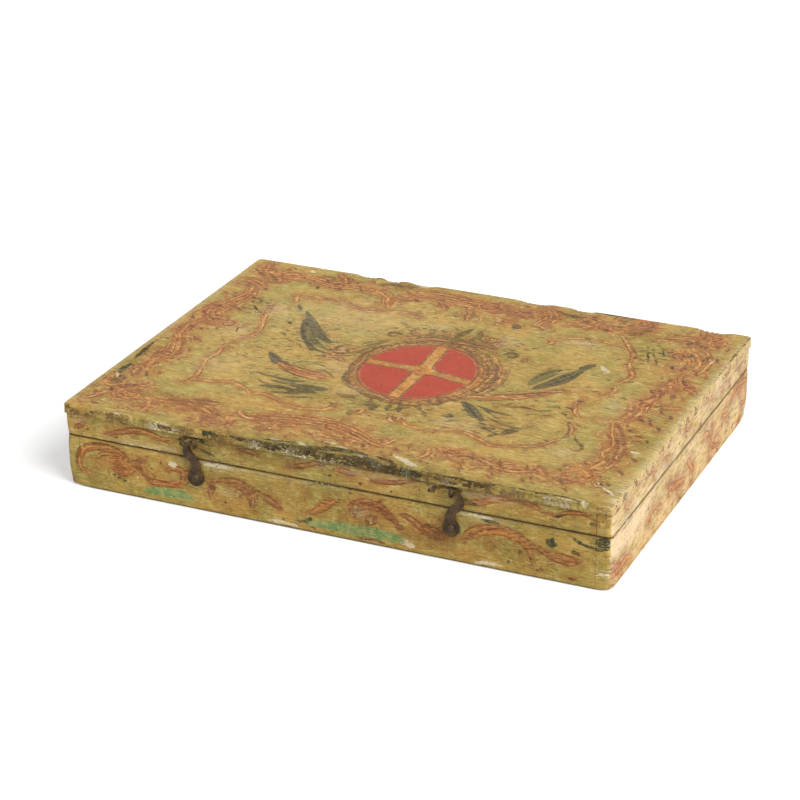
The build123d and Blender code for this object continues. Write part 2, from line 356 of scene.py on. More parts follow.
# The box's own sizes in metres, as its frame has them
sizes = {
    "length": 0.350,
    "width": 0.262,
    "caseLength": 0.348,
    "caseWidth": 0.2585,
    "wall": 0.009,
    "seamLow": 0.0334,
    "seamHigh": 0.0337,
    "bottomBoard": 0.006,
    "boardBottom": 0.048,
    "top": 0.054,
    "corner": 0.003,
    "boardCorner": 0.004,
    "boardEdge": 0.001,
    "cell": 0.0008,
    "shortestCut": 0.004,
    "rimRound": 0.0006,
    "waves": (0.00012, 0.02),  # depth and size of the case's waviness
}
halfX = sizes["caseLength"] / 2
halfY = sizes["caseWidth"] / 2
innerX = halfX - sizes["wall"]
innerY = halfY - sizes["wall"]
tolerance = 1e-5

# Half sizes and heights in millimetres, for the wear and the painting
lidX, lidY = 500 * sizes["length"], 500 * sizes["width"]
caseX, caseY = 500 * sizes["caseLength"], 500 * sizes["caseWidth"]
topZ, boardZ, seamZ = 54, 48, 33.55
boardThick = topZ - boardZ


def onOuterFace(spot):
    return min(abs(abs(spot.x) - halfX), abs(abs(spot.y) - halfY)) < tolerance


# On an outer face or on the round between two of them
def onOuterOrNear(spot):
    corner = sizes["corner"]
    rightOf, behind = abs(spot.x) - (halfX - corner), abs(spot.y) - (halfY - corner)
    if rightOf > 0 and behind > 0:
        return rightOf**2 + behind**2 > (corner * 0.93) ** 2
    return onOuterFace(spot)


def alongRim(a, b, rim):
    return max(abs(a.z - rim), abs(b.z - rim)) < tolerance and onOuterOrNear((a + b) / 2)


# A board of the case: its outline is drawn, its outer corners rounded, its outer edges divided finely,
# and it is drawn up to its height. The rims at the given heights are worn round.
def makeBoard(name, low, high, roundCorners, rims):
    begin()
    corner = sizes["corner"]
    wide, deep, tall = high[0] - low[0], high[1] - low[1], high[2] - low[2]
    middle = ((low[0] + high[0]) / 2, (low[1] + high[1]) / 2, low[2])
    bpy.ops.mesh.primitive_plane_add(size=1, location=middle)
    obj = bpy.context.active_object
    obj.name = name
    obj.scale = (wide, deep, 1)
    bpy.ops.object.transform_apply(location=True, rotation=True, scale=True)
    if roundCorners:
        pickVertices(obj, lambda spot: abs(abs(spot.x) - halfX) < tolerance)
        bpy.ops.mesh.bevel(offset=corner, segments=5, affect="VERTICES")
    edit("FACE")
    bpy.ops.mesh.select_all(action="SELECT")
    bpy.ops.mesh.delete(type="ONLY_FACE")
    for length in sorted({wide - 2 * corner, deep - 2 * corner, wide, deep, wide - corner}):
        if length > sizes["shortestCut"]:
            pickEdges(obj, lambda a, b: onOuterFace((a + b) / 2) and abs((a - b).length - length) < tolerance)
            bpy.ops.mesh.subdivide(number_cuts=int(length / sizes["cell"]))
    bpy.ops.mesh.select_all(action="SELECT")
    bpy.ops.mesh.edge_face_add()
    bpy.ops.mesh.extrude_region_move(TRANSFORM_OT_translate={"value": (0, 0, tall)})
    bpy.ops.mesh.select_all(action="SELECT")
    bpy.ops.mesh.normals_make_consistent(inside=False)
    for rim in rims:
        pickEdges(obj, lambda a, b: alongRim(a, b, rim))
        bpy.ops.mesh.bevel(offset=sizes["rimRound"], segments=2, affect="EDGES")
    pickEdges(obj, lambda a, b: abs(a.z - b.z) > tall * 0.6)
    bpy.ops.mesh.subdivide(number_cuts=int(tall / sizes["cell"]))
    leave()
    bpy.ops.object.shade_smooth_by_angle(angle=radians(35))
    return obj


# The lid's top board: a fine grid with rounded corners, whose rim is drawn out and down round the edge
lidBoard = {
    "cells": (336, 252),
    "rimSteps": [(0.5, 0.134), (0.866, 0.5), (1, 1), (1, 2), (1, 3.2), (1, 4.6), (1, 6)],  # out and down
    "waves": (0.00025, 0.03),
    # the wear is in millimetres, and each chip is its place, half width, depth and drop
    "wobble": 0.5,
    "wobbleReach": 5,
    "chipReach": 7,
    "frontChips": [
        (-36, 7, 0.9, 0.8),
        (-18, 6, 1.2, 1.0),
        (-2, 5, 1.6, 1.5),
        (14, 9, 1.2, 1.3),
        (34, 7, 1.9, 1.5),
        (47, 6, 1.5, 1.8),
        (-80, 6, 0.8, 0.7),
        (-124, 4, 0.9, 0.8),
        (96, 8, 0.5, 0.4),
        (128, 6, 0.7, 0.5),
        (156, 5, 0.8, 0.6),
        (-162, 6, 0.6, 0.5),
    ],
    "backChips": [
        (-92, 7, 0.9, 1.0),
        (-74, 6, 1.2, 1.4),
        (-52, 8, 0.7, 0.9),
        (28, 9, 0.9, 1.1),
        (62, 7, 0.8, 1.0),
        (150, 9, 0.9, 1.2),
    ],
}


def makeLidBoard():
    begin()
    edge = sizes["boardEdge"]
    wide, deep = sizes["length"] - 2 * edge, sizes["width"] - 2 * edge
    across, back = lidBoard["cells"]
    middle = (0, 0, sizes["top"])
    bpy.ops.mesh.primitive_grid_add(x_subdivisions=across, y_subdivisions=back, size=1, location=middle)
    obj = bpy.context.active_object
    obj.name = "painted_lid_board"
    obj.scale = (wide, deep, 1)
    bpy.ops.object.transform_apply(location=True, rotation=True, scale=True)
    spots = corners(obj)
    radius = sizes["boardCorner"] - edge
    coreX, coreY = wide / 2 - radius, deep / 2 - radius
    a = np.maximum(abs(spots[:, 0]) - coreX, 0) / radius
    b = np.maximum(abs(spots[:, 1]) - coreY, 0) / radius
    inCorner = (a > 0) & (b > 0)
    newA = coreX + radius * a * np.sqrt(1 - b * b / 2)
    newB = coreY + radius * b * np.sqrt(1 - a * a / 2)
    spots[inCorner, 0] = (np.sign(spots[:, 0]) * newA)[inCorner]
    spots[inCorner, 1] = (np.sign(spots[:, 1]) * newB)[inCorner]
    setCorners(obj, spots)
    edit("FACE")
    bpy.ops.mesh.select_all(action="SELECT")
    bpy.ops.mesh.region_to_loop()
    lastOut, lastDown = 0.0, 0.0
    for out, down in lidBoard["rimSteps"]:
        fall = (lastDown - down) * edge
        bpy.ops.mesh.extrude_edges_move(TRANSFORM_OT_translate={"value": (0, 0, fall)})
        leave()
        chosen = np.zeros(len(obj.data.vertices), bool)
        obj.data.vertices.foreach_get("select", chosen)
        spots = corners(obj)
        rim = spots[chosen, :2]
        away = rim - np.clip(rim, (-coreX, -coreY), (coreX, coreY))
        away /= np.linalg.norm(away, axis=1)[:, None]
        spots[chosen, :2] += away * (out - lastOut) * edge
        setCorners(obj, spots)
        lastOut, lastDown = out, down
        edit("EDGE")
    bpy.ops.mesh.edge_face_add()
    bpy.ops.mesh.select_all(action="SELECT")
    bpy.ops.mesh.normals_make_consistent(inside=False)
    leave()
    bpy.ops.object.shade_smooth_by_angle(angle=radians(40))
    wave(obj, *lidBoard["waves"])
    wearRim(obj)
    return obj


# Old knocks along the lid board's rim: a slow wobble all round, and chips along the front and the back
def wearRim(obj):
    spots = corners(obj)
    x, y, z = (spots * 1000).T
    fromSide, fromFront = lidX - abs(x), lidY - abs(y)
    fromEdge = np.minimum(fromSide, fromFront)
    high = np.clip((z - boardZ) / boardThick, 0, 1)
    turnOf = np.arctan2(y, x)
    beat = sum(np.sin(turnOf * k + k * k) / sqrt(k) for k in (9, 17, 31, 53, 83, 127)) / 3
    press = np.clip(0.5 + 0.5 * beat, 0, 1) * lidBoard["wobble"]
    hold = press * np.clip(1 - fromEdge / lidBoard["wobbleReach"], 0, 1) ** 2
    atSide = fromSide < fromFront
    moveX = np.where(atSide, -np.sign(x), 0) * hold * (0.4 + 0.6 * high)
    moveY = np.where(atSide, 0, -np.sign(y)) * hold * (0.4 + 0.6 * high)
    drop = hold * 0.4 * high
    for side, chips in ((-1, lidBoard["frontChips"]), (1, lidBoard["backChips"])):
        inReach = np.clip(1 - (lidY - side * y) / lidBoard["chipReach"], 0, 1) ** 1.5
        for place, half, depth, fall in chips:
            jag = 1 + 0.35 * np.sin(x * 1.9 + place) + 0.25 * np.sin(x * 4.3 + 2 * place)
            near = np.exp(-(((x - place) / half) ** 4)) * inReach * jag
            moveY -= side * near * depth * (0.25 + 0.75 * high)
            drop += near * fall * high
    setCorners(obj, spots + np.stack([moveX, moveY, -drop], 1) / 1000)


# Corners of the case that old knocks have rounded off: x, y, z, reach and depth in millimetres
knocks = [
    (-caseX, -caseY, 0, 8, 1.6),
    (caseX, caseY, 0, 8, 1.8),
    (caseX, -caseY, 0, 5, 1.4),
    (-caseX, caseY, 0, 6, 1.6),
    (-caseX, -caseY, 33.5, 4, 0.8),
    (caseX, caseY, 33.5, 3, 0.8),
]
knockShare = 0.58  # the part of a knock's depth that goes along each axis


def wearCorners(obj):
    spots = corners(obj) * 1000
    for x, y, z, reach, depth in knocks:
        near = np.exp(-((spots - (x, y, z)) ** 2).sum(1) / reach**2) * depth * knockShare
        upward = 1.0 if z == 0 else np.sign(z - spots[:, 2]) * -0.5
        spots += np.stack([-np.sign(x) * near, -np.sign(y) * near, upward * near], 1)
    setCorners(obj, spots / 1000)


# Paint colours, as they look in plain light
inks = {
    "rust": (164, 84, 34),
    "orange": (200, 118, 46),
    "amber": (192, 136, 48),
    "pink": (206, 118, 66),
    "redBrown": (120, 56, 32),
    "brown": (92, 62, 34),
    "umber": (62, 46, 28),
    "plum": (132, 64, 50),
    "red": (187, 40, 43),
    "gold": (190, 136, 58),
    "bronze": (126, 90, 44),
    "leafDark": (34, 38, 32),
    "leafOlive": (94, 94, 50),
    "slate": (42, 46, 46),
    "redLeaf": (184, 64, 54),
    "cream": (236, 220, 186),
    "underGreen": (122, 154, 90),
    "bottle": (38, 58, 40),
    "tar": (44, 42, 30),
    "bluish": (72, 96, 96),
    "sand": (208, 182, 116),
    "flame": (222, 146, 70),
    "blush": (238, 206, 170),
    "yellow": (206, 172, 62),
}

# Scrollwork of the lid's top: ink, half widths, points from the left front corner's side, in millimetres
topScrolls = [
    # left border, from the back corner to the front
    ("redBrown", (1.5, 4, 2), [(-163, 127), (-161, 118), (-158, 108)]),
    ("orange", (4, 8, 5), [(-160, 108), (-150, 106), (-140, 108), (-130, 112)]),
    ("rust", (3, 6, 3), [(-150, 104), (-145, 98), (-139, 102)]),
    ("rust", (3, 6.5, 4), [(-132, 112), (-118, 108), (-104, 106), (-88, 108)]),
    ("redBrown", (2, 5, 2), [(-110, 124), (-103, 117), (-98, 108)]),
    ("brown", (0.6, 1.3, 0.6), [(-118, 117), (-113, 118), (-108, 116)]),
    ("rust", (1.5, 3, 2), [(-168, 95), (-160, 94), (-152, 90)]),
    ("orange", (2, 4, 3), [(-164, 90), (-156, 92), (-150, 88)]),
    ("redBrown", (1, 2.4, 2.4), [(-168, 84), (-161, 86), (-154, 83)]),
    ("rust", (2.5, 5, 6), [(-158, 87), (-153, 77), (-151, 66), (-154, 56)]),
    ("rust", (5, 9, 6), [(-154, 54), (-158, 44), (-159, 34), (-155, 27)]),
    ("redBrown", (1, 2, 1), curl(-160, 35, 8, 3, 100, 0.7)),
    ("orange", (2, 6, 0.5), [(-156, 22), (-148, 18), (-141, 19), (-134, 22)]),
    ("redBrown", (0.8, 1.8, 0.8), [(-147, 18), (-142, 22), (-138, 20)]),
    ("rust", (3, 4.5, 3.5), [(-158, 20), (-162, 8), (-162, -4), (-158, -14)]),
    ("redBrown", (1.5, 4, 2.5), [(-163, -10), (-157, -16), (-152, -24)]),
    ("rust", (3, 8, 4), [(-156, -25), (-153, -36), (-155, -46)]),
    ("brown", (0.8, 1.6, 0.8), [(-147, -30), (-146, -38), (-147, -46)]),
    ("orange", (2, 3.2, 2), [(-158, -46), (-155, -56), (-154, -66)]),
    ("plum", (2, 4.5, 2), [(-158, -58), (-159, -68), (-156, -76)]),
    ("umber", (1.5, 4.6, 1.5), [(-163, -80), (-162, -87), (-159, -93)]),
    ("orange", (1, 1.6, 1.2), [
        (-167, -79), (-169, -87), (-164, -95), (-155, -93), (-145, -89), (-134, -88),
    ]),
    ("redBrown", (0.5, 1, 0.6), [(-158, -83), (-152, -88), (-143, -86), (-134, -87)]),
    ("orange", (3, 5, 2.5), curl(-144, -101, 9, 6, 70, 0.85)),
    ("rust", (1, 1.4, 0.8), curl(-145, -101, 13, 3, 40, 1.35, 14)),
    ("rust", (2, 3.5, 1), [(-156, -98), (-160, -106), (-163, -113)]),
    ("redBrown", (1, 2.5, 0.8), [(-160, -108), (-163, -113), (-166, -117)]),
    # front border
    ("orange", (2, 3.4, 2.2), [
        (-131, -104), (-119, -103), (-106, -101), (-94, -104), (-84, -111), (-79, -119),
    ]),
    ("rust", (0.6, 0.9, 0.6), [
        (-133, -101), (-119, -99.5), (-106, -97.5), (-93, -100), (-82, -107), (-75, -117), (-79, -123),
    ]),
    ("redBrown", (2, 3.6, 0.8), [(-104, -96), (-94, -95), (-86, -93)]),
    ("rust", (1, 1.8, 1), curl(-83, -117, 5, 1.5, 60, -1.1)),
    ("orange", (2, 3, 1), [(-128, -107), (-125, -114), (-127, -121)]),
    ("rust", (0.7, 1.1, 0.7), [(-131, -109), (-128, -117), (-122, -121), (-124, -115)]),
    ("orange", (1.4, 2.2, 1), [(-75, -109), (-70, -114), (-68, -123)]),
    ("plum", (1, 2.8, 1.4), [(-72, -98), (-66, -104), (-56, -105), (-49, -103)]),
    ("plum", (2, 3.4, 2), [(-52, -115), (-47, -114), (-44, -112)]),
    # the broad feathered arc at the front
    ("rust", (3, 6.5, 3.2), [
        (-62, -104), (-46, -98), (-30, -95), (-12, -95), (3, -100), (15, -106), (24, -109),
    ]),
    ("orange", (0.8, 1.4, 0.8), [(-50, -95), (-30, -89), (-12, -88.5), (2, -92), (14, -99), (22, -105)]),
    ("plum", (1, 2.2, 1), [(-20, -108), (-6, -110), (8, -109), (20, -111)]),
    ("redBrown", (1.2, 2, 1.4), [(22, -107), (27, -105), (29, -99)]),
    ("rust", (1.5, 2.6, 1), [(-46, -103), (-39, -106), (-33, -104)]),
    ("rust", (1, 2.6, 1.2), [(52, -101), (54, -108), (52, -115)]),
    ("orange", (3, 5, 2), [(60, -99), (66, -100), (72, -97)]),
    ("rust", (1, 2, 1), [(61, -95), (67, -105), (75, -101), (84, -104)]),
    ("redBrown", (1.2, 2.4, 1.2), [(83, -101), (88, -104), (92, -106)]),
    ("rust", (1.4, 2.6, 1.6), [
        (82, -118), (85, -113), (95, -110), (108, -110), (118, -106), (126, -108),
    ]),
    ("brown", (0.5, 0.8, 0.5), [(81, -119), (83, -112), (92, -108), (106, -108), (116, -104)]),
    ("redBrown", (1, 1.8, 1), [(98, -107), (99, -102), (104, -101)]),
    ("rust", (1, 3.4, 1.2), [(116, -97), (121, -103), (127, -109)]),
    # front right volute and right border
    ("pink", (3, 4.4, 2.4), curl(142, -100, 6, 7, 150, -0.75)),
    ("redBrown", (0.8, 1.3, 0.8), curl(142, -100, 12, 6, 165, -1.2, 14)),
    ("redBrown", (1, 2, 1), curl(134.5, -92.5, 2, 0.6, 0, 1)),
    ("redBrown", (1, 2, 1), [(131, -108), (137, -111), (144, -110)]),
    ("redBrown", (0.8, 1.8, 0.8), [(153, -104), (157, -109), (160, -107)]),
    ("orange", (2, 3.6, 2.6), [(146, -90), (150, -78), (146, -66), (148, -54), (142, -40), (138, -26)]),
    ("plum", (1.2, 2.8, 1.6), [
        (153, -92), (156, -80), (155, -66), (152, -53), (146, -40), (140, -29), (134, -22),
    ]),
    ("orange", (2.4, 3.2, 2.4), [(140, -24), (142, -12), (140, 0)]),
    ("rust", (2, 4.4, 2.5), [(146, -20), (147, -8), (146, 4), (150, 16)]),
    ("redBrown", (1.5, 3, 1.5), [(138, 9), (145, 10), (149, 20), (147, 28)]),
    ("orange", (1.4, 3.6, 1.6), [(152, 2), (160, 6), (168, 8)]),
    ("rust", (0.8, 1.6, 0.6), curl(150, -56, 6, 1.5, 200, 1.3, 12)),
    ("rust", (3, 5, 1.5), [(153, 52), (157, 42), (163, 36), (169, 31)]),
    ("orange", (2, 4, 2), [(150, 44), (152, 36), (156, 28)]),
    ("rust", (1.2, 2.2, 1.2), [(149, 98), (157, 93), (162, 82), (163, 70), (160, 59), (153, 52)]),
    ("orange", (1.4, 2.6, 1.4), [(144, 93), (152, 87), (157, 76), (157, 66), (153, 58)]),
    ("rust", (0.8, 1.5, 0.8), [(139, 85), (146, 83), (151, 76), (151, 67), (147, 62)]),
    ("rust", (3, 5, 2), [(135, 88), (142, 84), (147, 79)]),
    ("redBrown", (1.5, 3, 1.5), [(143, 128), (146, 118), (143, 106), (147, 96)]),
    ("plum", (4, 6, 3), [(134, 106), (141, 110), (146, 104)]),
    ("orange", (2, 4, 2), [(150, 124), (156, 118), (152, 108)]),
    ("rust", (1, 1.6, 1), curl(157, 110, 7, 4, 120, -0.7)),
    # back border
    ("orange", (4, 7, 4), [(96, 108), (104, 114), (106, 122), (101, 128)]),
    ("redBrown", (1.5, 3.4, 2), [(86, 120), (88, 128), (98, 131), (108, 129), (112, 121), (110, 114)]),
    ("rust", (3, 5.5, 4), [(60, 104), (72, 106), (84, 107), (96, 106)]),
    ("rust", (1.5, 2.4, 1.5), [(58, 119), (68, 121), (77, 117), (86, 113)]),
    ("umber", (1.5, 3, 1.2), [(52, 119), (59, 117), (66, 118)]),
    ("rust", (3, 7, 4), [(34, 124), (42, 118), (47, 108), (44, 96)]),
    ("redBrown", (1, 2, 1), [(36, 125), (44, 122), (50, 115)]),
    ("rust", (5, 8, 5), [(-52, 112), (-34, 115), (-16, 113), (2, 112), (20, 110), (34, 108)]),
    ("redBrown", (2, 4.5, 0.8), [(-30, 107), (-25, 101), (-22, 95)]),
    ("plum", (1.5, 3.6, 1.2), [(-8, 104), (-4, 95), (-2, 84)]),
    ("umber", (1, 3, 1.4), [(29, 90), (32, 86), (33, 82)]),
    ("amber", (2, 4, 2), [(14, 96), (22, 93), (28, 95)]),
    ("rust", (1, 2.4, 1), [(44, 97), (47, 92), (50, 90)]),
    ("rust", (3, 4.5, 1.5), [(-70, 104), (-64, 99), (-60, 90), (-58, 84)]),
    ("orange", (2, 4, 2), [(-88, 107), (-80, 108), (-72, 106)]),
    ("brown", (1, 2.6, 1), [(-80, 118), (-71, 122), (-62, 121), (-54, 123)]),
    ("rust", (2, 3.4, 2), [(-60, 104), (-52, 101), (-48, 106)]),
]

# The wavy line that frames the middle of the lid
topFrameLine = [
    ("pink", (1.2, 2.4, 1.6), [
        (-130, 62), (-127, 50), (-124, 38), (-120, 28), (-117, 15), (-118, 5), (-122, -2),
    ]),
    ("pink", (1, 2.2, 1), [(-122, -4), (-126, -14), (-125, -25), (-126, -38), (-124, -48)]),
    ("rust", (1, 2, 1.4), [(-124, -48), (-121, -58), (-120, -66), (-123, -76)]),
    ("orange", (1.4, 2, 1), [(-119, -67), (-108, -66), (-95, -63), (-86, -66), (-78, -73)]),
    ("rust", (1, 2.2, 1.2), [(-80, -75), (-71, -70), (-62, -73), (-54, -78)]),
    ("amber", (1.5, 2.8, 1.2), [(-54, -78), (-42, -80), (-30, -78), (-23, -73), (-24, -66)]),
    ("orange", (1, 1.6, 1), [(17, -68), (21, -72), (27, -77), (36, -79), (46, -78), (56, -74)]),
    ("rust", (1.4, 2.4, 1.4), [(56, -74), (64, -74), (73, -78), (82, -83), (90, -82), (97, -78)]),
    ("plum", (1.2, 2.2, 1.4), [(96, -79), (104, -76), (111, -69), (117, -60)]),
    ("brown", (1, 1.8, 1.2), [(117, -62), (119, -52), (117, -43), (113, -36)]),
    ("orange", (0.8, 1.8, 0.8), [(113, -36), (118, -44), (120, -52)]),
    ("brown", (0.6, 1.3, 0.6), [(123, -52), (126, -58), (131, -63), (133, -68), (130, -71), (126, -69)]),
    ("rust", (1, 2, 1), [(117, -28), (111, -20), (108, -9), (109, -2)]),
    ("orange", (1, 1.8, 1), [(118, 8), (123, 15), (121, 23)]),
    ("rust", (1.2, 2.4, 1.2), [(121, 28), (125, 38), (124, 46), (120, 53), (117, 60)]),
    ("rust", (1.2, 2.2, 1.4), [(117, 60), (116, 70), (112, 79), (106, 88), (101, 96)]),
    ("amber", (1, 1.8, 1), [(104, 88), (96, 85), (84, 87), (70, 82), (60, 76)]),
    ("orange", (1, 3, 1.2), [(-121, 82), (-119, 76), (-117, 70)]),
    ("orange", (1.2, 2.2, 1.2), [(-116, 79), (-104, 81), (-92, 82), (-84, 79)]),
    ("pink", (1.4, 3.2, 1.4), [(-84, 80), (-74, 76), (-62, 78), (-50, 80), (-40, 80), (-30, 77)]),
    ("rust", (1, 3, 1), [(58, 77), (62, 72), (60, 68)]),
]

# Leaf sprays round the oval
topLeaves = [
    ("leafDark", (0.5, 1.6, 0.6), [(-113, 66), (-110, 61), (-107, 57)]),
    ("leafDark", (0.8, 4, 1.4), [(-103, 57), (-95, 46), (-86, 34), (-77, 24), (-67, 16)]),
    ("leafDark", (1.6, 2.4, 1), [(-98, 44), (-92, 30), (-84, 16), (-74, 5), (-62, 0)]),
    ("leafOlive", (0.8, 3, 1.2), [(-91, 33), (-83, 21), (-74, 12), (-65, 6)]),
    ("amber", (0.5, 0.9, 0.4), [(-102, 50), (-95, 36), (-87, 21), (-78, 8)]),
    ("redLeaf", (1, 2.2, 1), [(-64, 12), (-59, 6), (-56, 0), (-60, -6)]),
    ("cream", (1, 2.4, 0.8), [(-56, 11), (-53.5, 8), (-51, 6)]),
    ("slate", (0.8, 3.4, 1.5), [(-95, -12), (-89, -18), (-83, -24), (-78, -22)]),
    ("redLeaf", (1.2, 5.4, 2.5), [(-86, -22), (-74, -29), (-61, -33), (-48, -34)]),
    ("redBrown", (0.8, 2, 0.8), [(-70, -26), (-60, -29), (-50, -30)]),
    ("redBrown", (1, 3.4, 1), [(-62, -1), (-54, -3), (-46, -6)]),
    ("slate", (0.4, 2, 0.6), [(-79, -44), (-70, -46), (-61, -46), (-55, -44)]),
    ("slate", (0.3, 1.6, 0.5), [(-76, -50), (-67, -51), (-59, -49)]),
    ("umber", (0.3, 1.2, 0.4), [(-84, -52), (-75, -56), (-66, -58)]),
    ("leafDark", (0.8, 2.6, 0.8), [(-78, -60), (-68, -58), (-58, -57)]),
    ("slate", (1.4, 4, 1.6), [(-60, -52), (-52, -52), (-44, -51), (-38, -50)]),
    ("leafDark", (1, 3, 1), [(-60, -60), (-52, -58), (-42, -57)]),
    ("umber", (0.4, 1.6, 0.5), [(-68, -66), (-60, -64), (-50, -62)]),
    ("brown", (0.4, 1.4, 0.5), [(-58, -70), (-50, -67), (-40, -63)]),
    ("leafDark", (0.3, 1, 0.3), [(-92, -42), (-84, -44), (-77, -47)]),
    ("leafDark", (0.6, 3, 1), [(99, 49), (96, 45), (92, 40)]),
    ("leafDark", (1.4, 5.2, 1.6), [(94, 39), (91, 29), (87, 18), (82, 9), (77, 1)]),
    ("leafOlive", (1, 4.6, 1), [(82, 34), (77, 25), (74, 14), (72, 5)]),
    ("cream", (0.6, 1.8, 0.6), [(103, 49), (106, 45), (111, 41)]),
    ("redLeaf", (1.5, 4.2, 1.4), [(42, -27), (54, -22), (66, -17), (78, -9), (90, 0)]),
    ("redBrown", (0.8, 2, 0.8), [(84, -4), (92, 3), (101, 7)]),
    ("slate", (1.5, 4, 2), [(45, -34), (52, -40), (58, -47), (65, -54)]),
    ("umber", (0.8, 3, 0.8), [(69, -63), (73, -63), (77, -61)]),
    ("umber", (0.8, 3.2, 0.8), [(83, -67), (86, -62), (90, -57)]),
    ("slate", (0.6, 2, 0.6), [(77, -73), (79, -70), (81, -69)]),
    ("brown", (0.4, 1.4, 0.4), [(66, -48), (76, -53), (86, -56), (95, -54)]),
    ("umber", (0.4, 1.6, 0.4), [(62, -28), (72, -29), (82, -27), (92, -29)]),
    ("slate", (0.4, 1.6, 0.4), [(58, -36), (68, -40), (80, -41)]),
]

# Veins and darker edges of the leaves, and the dry brush marks round them
leafVeins = [
    ("tar", (0.3, 0.8, 0.3), [(-102, 56), (-92, 42), (-82, 31), (-72, 21), (-64, 15)]),
    ("tar", (0.3, 0.9, 0.3), [(-99, 45), (-92, 28), (-83, 14), (-72, 4)]),
    ("tar", (0.2, 0.6, 0.2), [(-90, 36), (-84, 26), (-77, 17), (-69, 10)]),
    ("tar", (0.2, 0.6, 0.2), [(-86, 26), (-80, 16), (-73, 9)]),
    ("leafOlive", (0.2, 0.7, 0.2), [(-88, 38), (-81, 28), (-74, 20)]),
    ("umber", (0.3, 0.8, 0.3), [(-95, -12), (-88, -19), (-78, -24), (-66, -27), (-52, -30)]),
    ("umber", (0.3, 0.8, 0.3), [(-84, -25), (-74, -33), (-62, -38), (-48, -39)]),
    ("redBrown", (0.2, 0.7, 0.2), [(-80, -25), (-68, -31), (-52, -34)]),
    ("bronze", (0.4, 1.2, 0.4), [(-56, -22), (-47, -27), (-40, -34)]),
    ("brown", (0.3, 0.9, 0.3), curl(-54, 8, 7.5, 5, 30, 0.9)),
    ("brown", (0.3, 0.7, 0.3), curl(-54, 8, 4.6, 3, 200, 0.8)),
    ("amber", (0.4, 1.2, 0.4), [(-66, -8), (-56, -14), (-47, -18)]),
    ("umber", (0.3, 0.8, 0.3), [(-70, -16), (-58, -17), (-48, -22)]),
    ("tar", (0.3, 1, 0.3), [(97, 46), (96, 38), (92, 26), (86, 14), (79, 3)]),
    ("tar", (0.2, 0.7, 0.2), [(92, 36), (87, 24), (81, 13)]),
    ("umber", (0.3, 0.8, 0.3), [(90, 38), (82, 33), (75, 24), (71, 12)]),
    ("leafOlive", (0.2, 0.8, 0.2), [(86, 32), (80, 22), (76, 12)]),
    ("umber", (0.3, 0.8, 0.3), [(44, -24), (56, -18), (70, -11), (84, -3), (96, 4)]),
    ("redBrown", (0.3, 0.8, 0.3), [(46, -30), (60, -25), (74, -17), (86, -8)]),
    ("amber", (0.3, 1, 0.3), [(50, -27), (62, -30), (76, -27), (90, -18)]),
    ("tar", (0.3, 1.2, 0.3), [(46, -35), (54, -43), (62, -52)]),
    ("umber", (0.3, 0.9, 0.3), [(50, -33), (60, -38), (70, -46), (78, -50)]),
    ("slate", (0.3, 0.8, 0.3), [(66, -60), (76, -66), (88, -70)]),
    ("slate", (0.3, 0.9, 0.3), [(70, -57), (80, -60), (92, -60)]),
]

